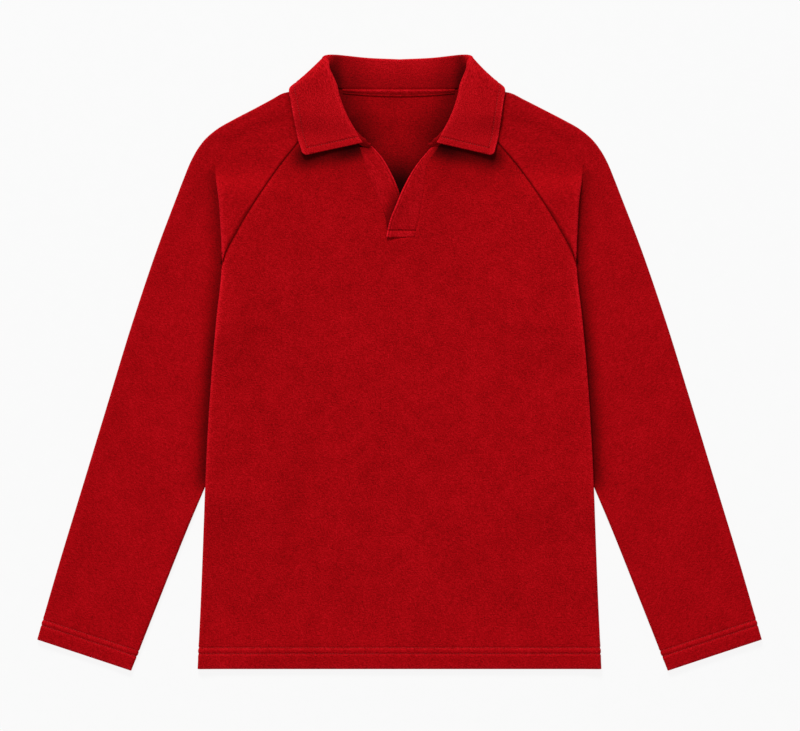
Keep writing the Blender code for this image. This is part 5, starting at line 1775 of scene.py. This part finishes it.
@dataclass
class PoloShirt:
    """The shirt: its panels, sleeves, collar, placket and tape with their sewing."""

    form: ShirtForm = field(default_factory=ShirtForm)
    over_edge: Points = (
        (-15.3, 151.0), (-13.0, 162.5), (-9.8, 174.0), (-4.4, 187.2), (3.8, 206.9), (19.0, 234.6), (39.0, 259.0),
    )  # fmt: skip
    under_edge: Points = ((6.0, 151.6), (5.0, 180.0), (0.0, 201.6), (-9.0, 224.4), (-22.0, 247.0), (-33.0, 259.4))
    sides: tuple[tuple[int, str], ...] = ((-1, "right"), (1, "left"))
    stitch: Stitch = Stitch()

    def add(self, piece: Piece, slot: str, *nodes: str) -> Piece:
        """Makes a piece ride on the shirt and hides the solids that it stands for."""
        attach(piece, "root")
        if nodes:
            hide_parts(*nodes)
        log.info("%s: %d points, %d faces", piece.name, len(piece.data.vertices), len(piece.data.polygons))
        return piece

    def body(self, thread: Finish) -> None:
        """Builds both panels with their hems' stitches and the edges of their raglan seams."""
        cloth = BrushedCloth("body_cloth_brushed", Dye.BODY.value, twill_angle=0.5, twill=0.25).material()
        for which, creases, above, area in (
            (PanelSide.BACK, (), -0.3, 0.289),
            (PanelSide.FRONT, BODY_CREASES, 0.3, 0.273),
        ):
            node, panel = which.value, BodyPanel(self.form, which, creases)
            made = self.add(panel.make(cloth), "body_cloth", node)
            sewn = [self.add(self.stitch.along_lines(f"{node}_hem_stitches", panel.hem_rows(), thread), "body_cloth")]
            for side, word in self.sides:
                name = f"{node}_seam_allowance_{word}"
                edges = SeamAllowance(self.form).make(name, side, panel.seam, above, cloth)
                sewn.append(self.add(edges, "body_cloth"))

    def sleeves(self, thread: Finish) -> None:
        """Builds both sleeves with their cuffs' stitches."""
        cloth = BrushedCloth("sleeve_cloth_brushed", Dye.SLEEVE.value, 3.0, 0.84, 0.3, mottled=0.3).material()
        sleeve = Sleeve(self.form)
        for side, word in self.sides:
            made = self.add(sleeve.make(f"sleeve_{word}_tube", side, cloth), "sleeve_cloth", f"sleeve_{word}")
            sewn = self.stitch.along_lines(f"cuff_{word}_stitches", list(sleeve.rings.values()), thread)
            self.add(sewn, "sleeve_cloth")

    def collar(self, thread: Finish) -> None:
        """Builds the collar with its top stitching."""
        cloth = BrushedCloth(
            "collar_cloth_brushed", Dye.COLLAR.value, 3.4, 0.6, 0.1, nap_scale=820.0, patchy=0.15, mottled=0.15
        ).material()
        collar = Collar(self.form)
        made = self.add(collar.make(cloth), "collar_cloth", "collar")
        sewn = self.add(self.stitch.along_lines("collar_stitches", collar.stitch_lines, thread), "collar_cloth")

    def placket_and_tape(self) -> None:
        """Builds the placket's strips beside the edges of the front's slot, and the neck tape."""
        cloth = BrushedCloth("placket_cloth_brushed", Dye.PLACKET.value, twill_angle=0.5).material()
        right, left = (
            tuple((across + gap, up) for across, up in edge)
            for edge, gap in ((BodyPanel.slot_right, SEAM), (BodyPanel.slot_left, -SEAM))
        )
        under = PlacketStrip(
            self.form, "placket_strip_under", right, self.under_edge, 2.6, 3.4, shaded_by=self.over_edge
        )
        over = PlacketStrip(
            self.form, "placket_strip_over", left, self.over_edge, -2.5, 1.7, 2.0, boxed=True, ends=(0.003, 0.975)
        )
        for strip, node in ((under, "placket_under"), (over, "placket_over")):
            made = self.add(strip.make(cloth), "placket_cloth", node)
        woven = BrushedCloth("neck_tape_woven", Dye.TAPE.value, twill_angle=1.2).material()
        tape = self.add(NeckTape(self.form).make(woven), "neck_tape", "neck_tape")

    def build(self) -> None:
        """Builds every piece."""
        thread = Thread("sewing_thread", Dye.THREAD.value).material()
        self.body(thread)
        self.sleeves(thread)
        self.collar(thread)
        self.placket_and_tape()


def main() -> None:
    """Loads the frame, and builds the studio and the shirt."""
    logging.basicConfig(level=logging.INFO, format="%(message)s")
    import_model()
    Studio().set_up()
    PoloShirt().build()


if __name__ == "__main__":
    main()
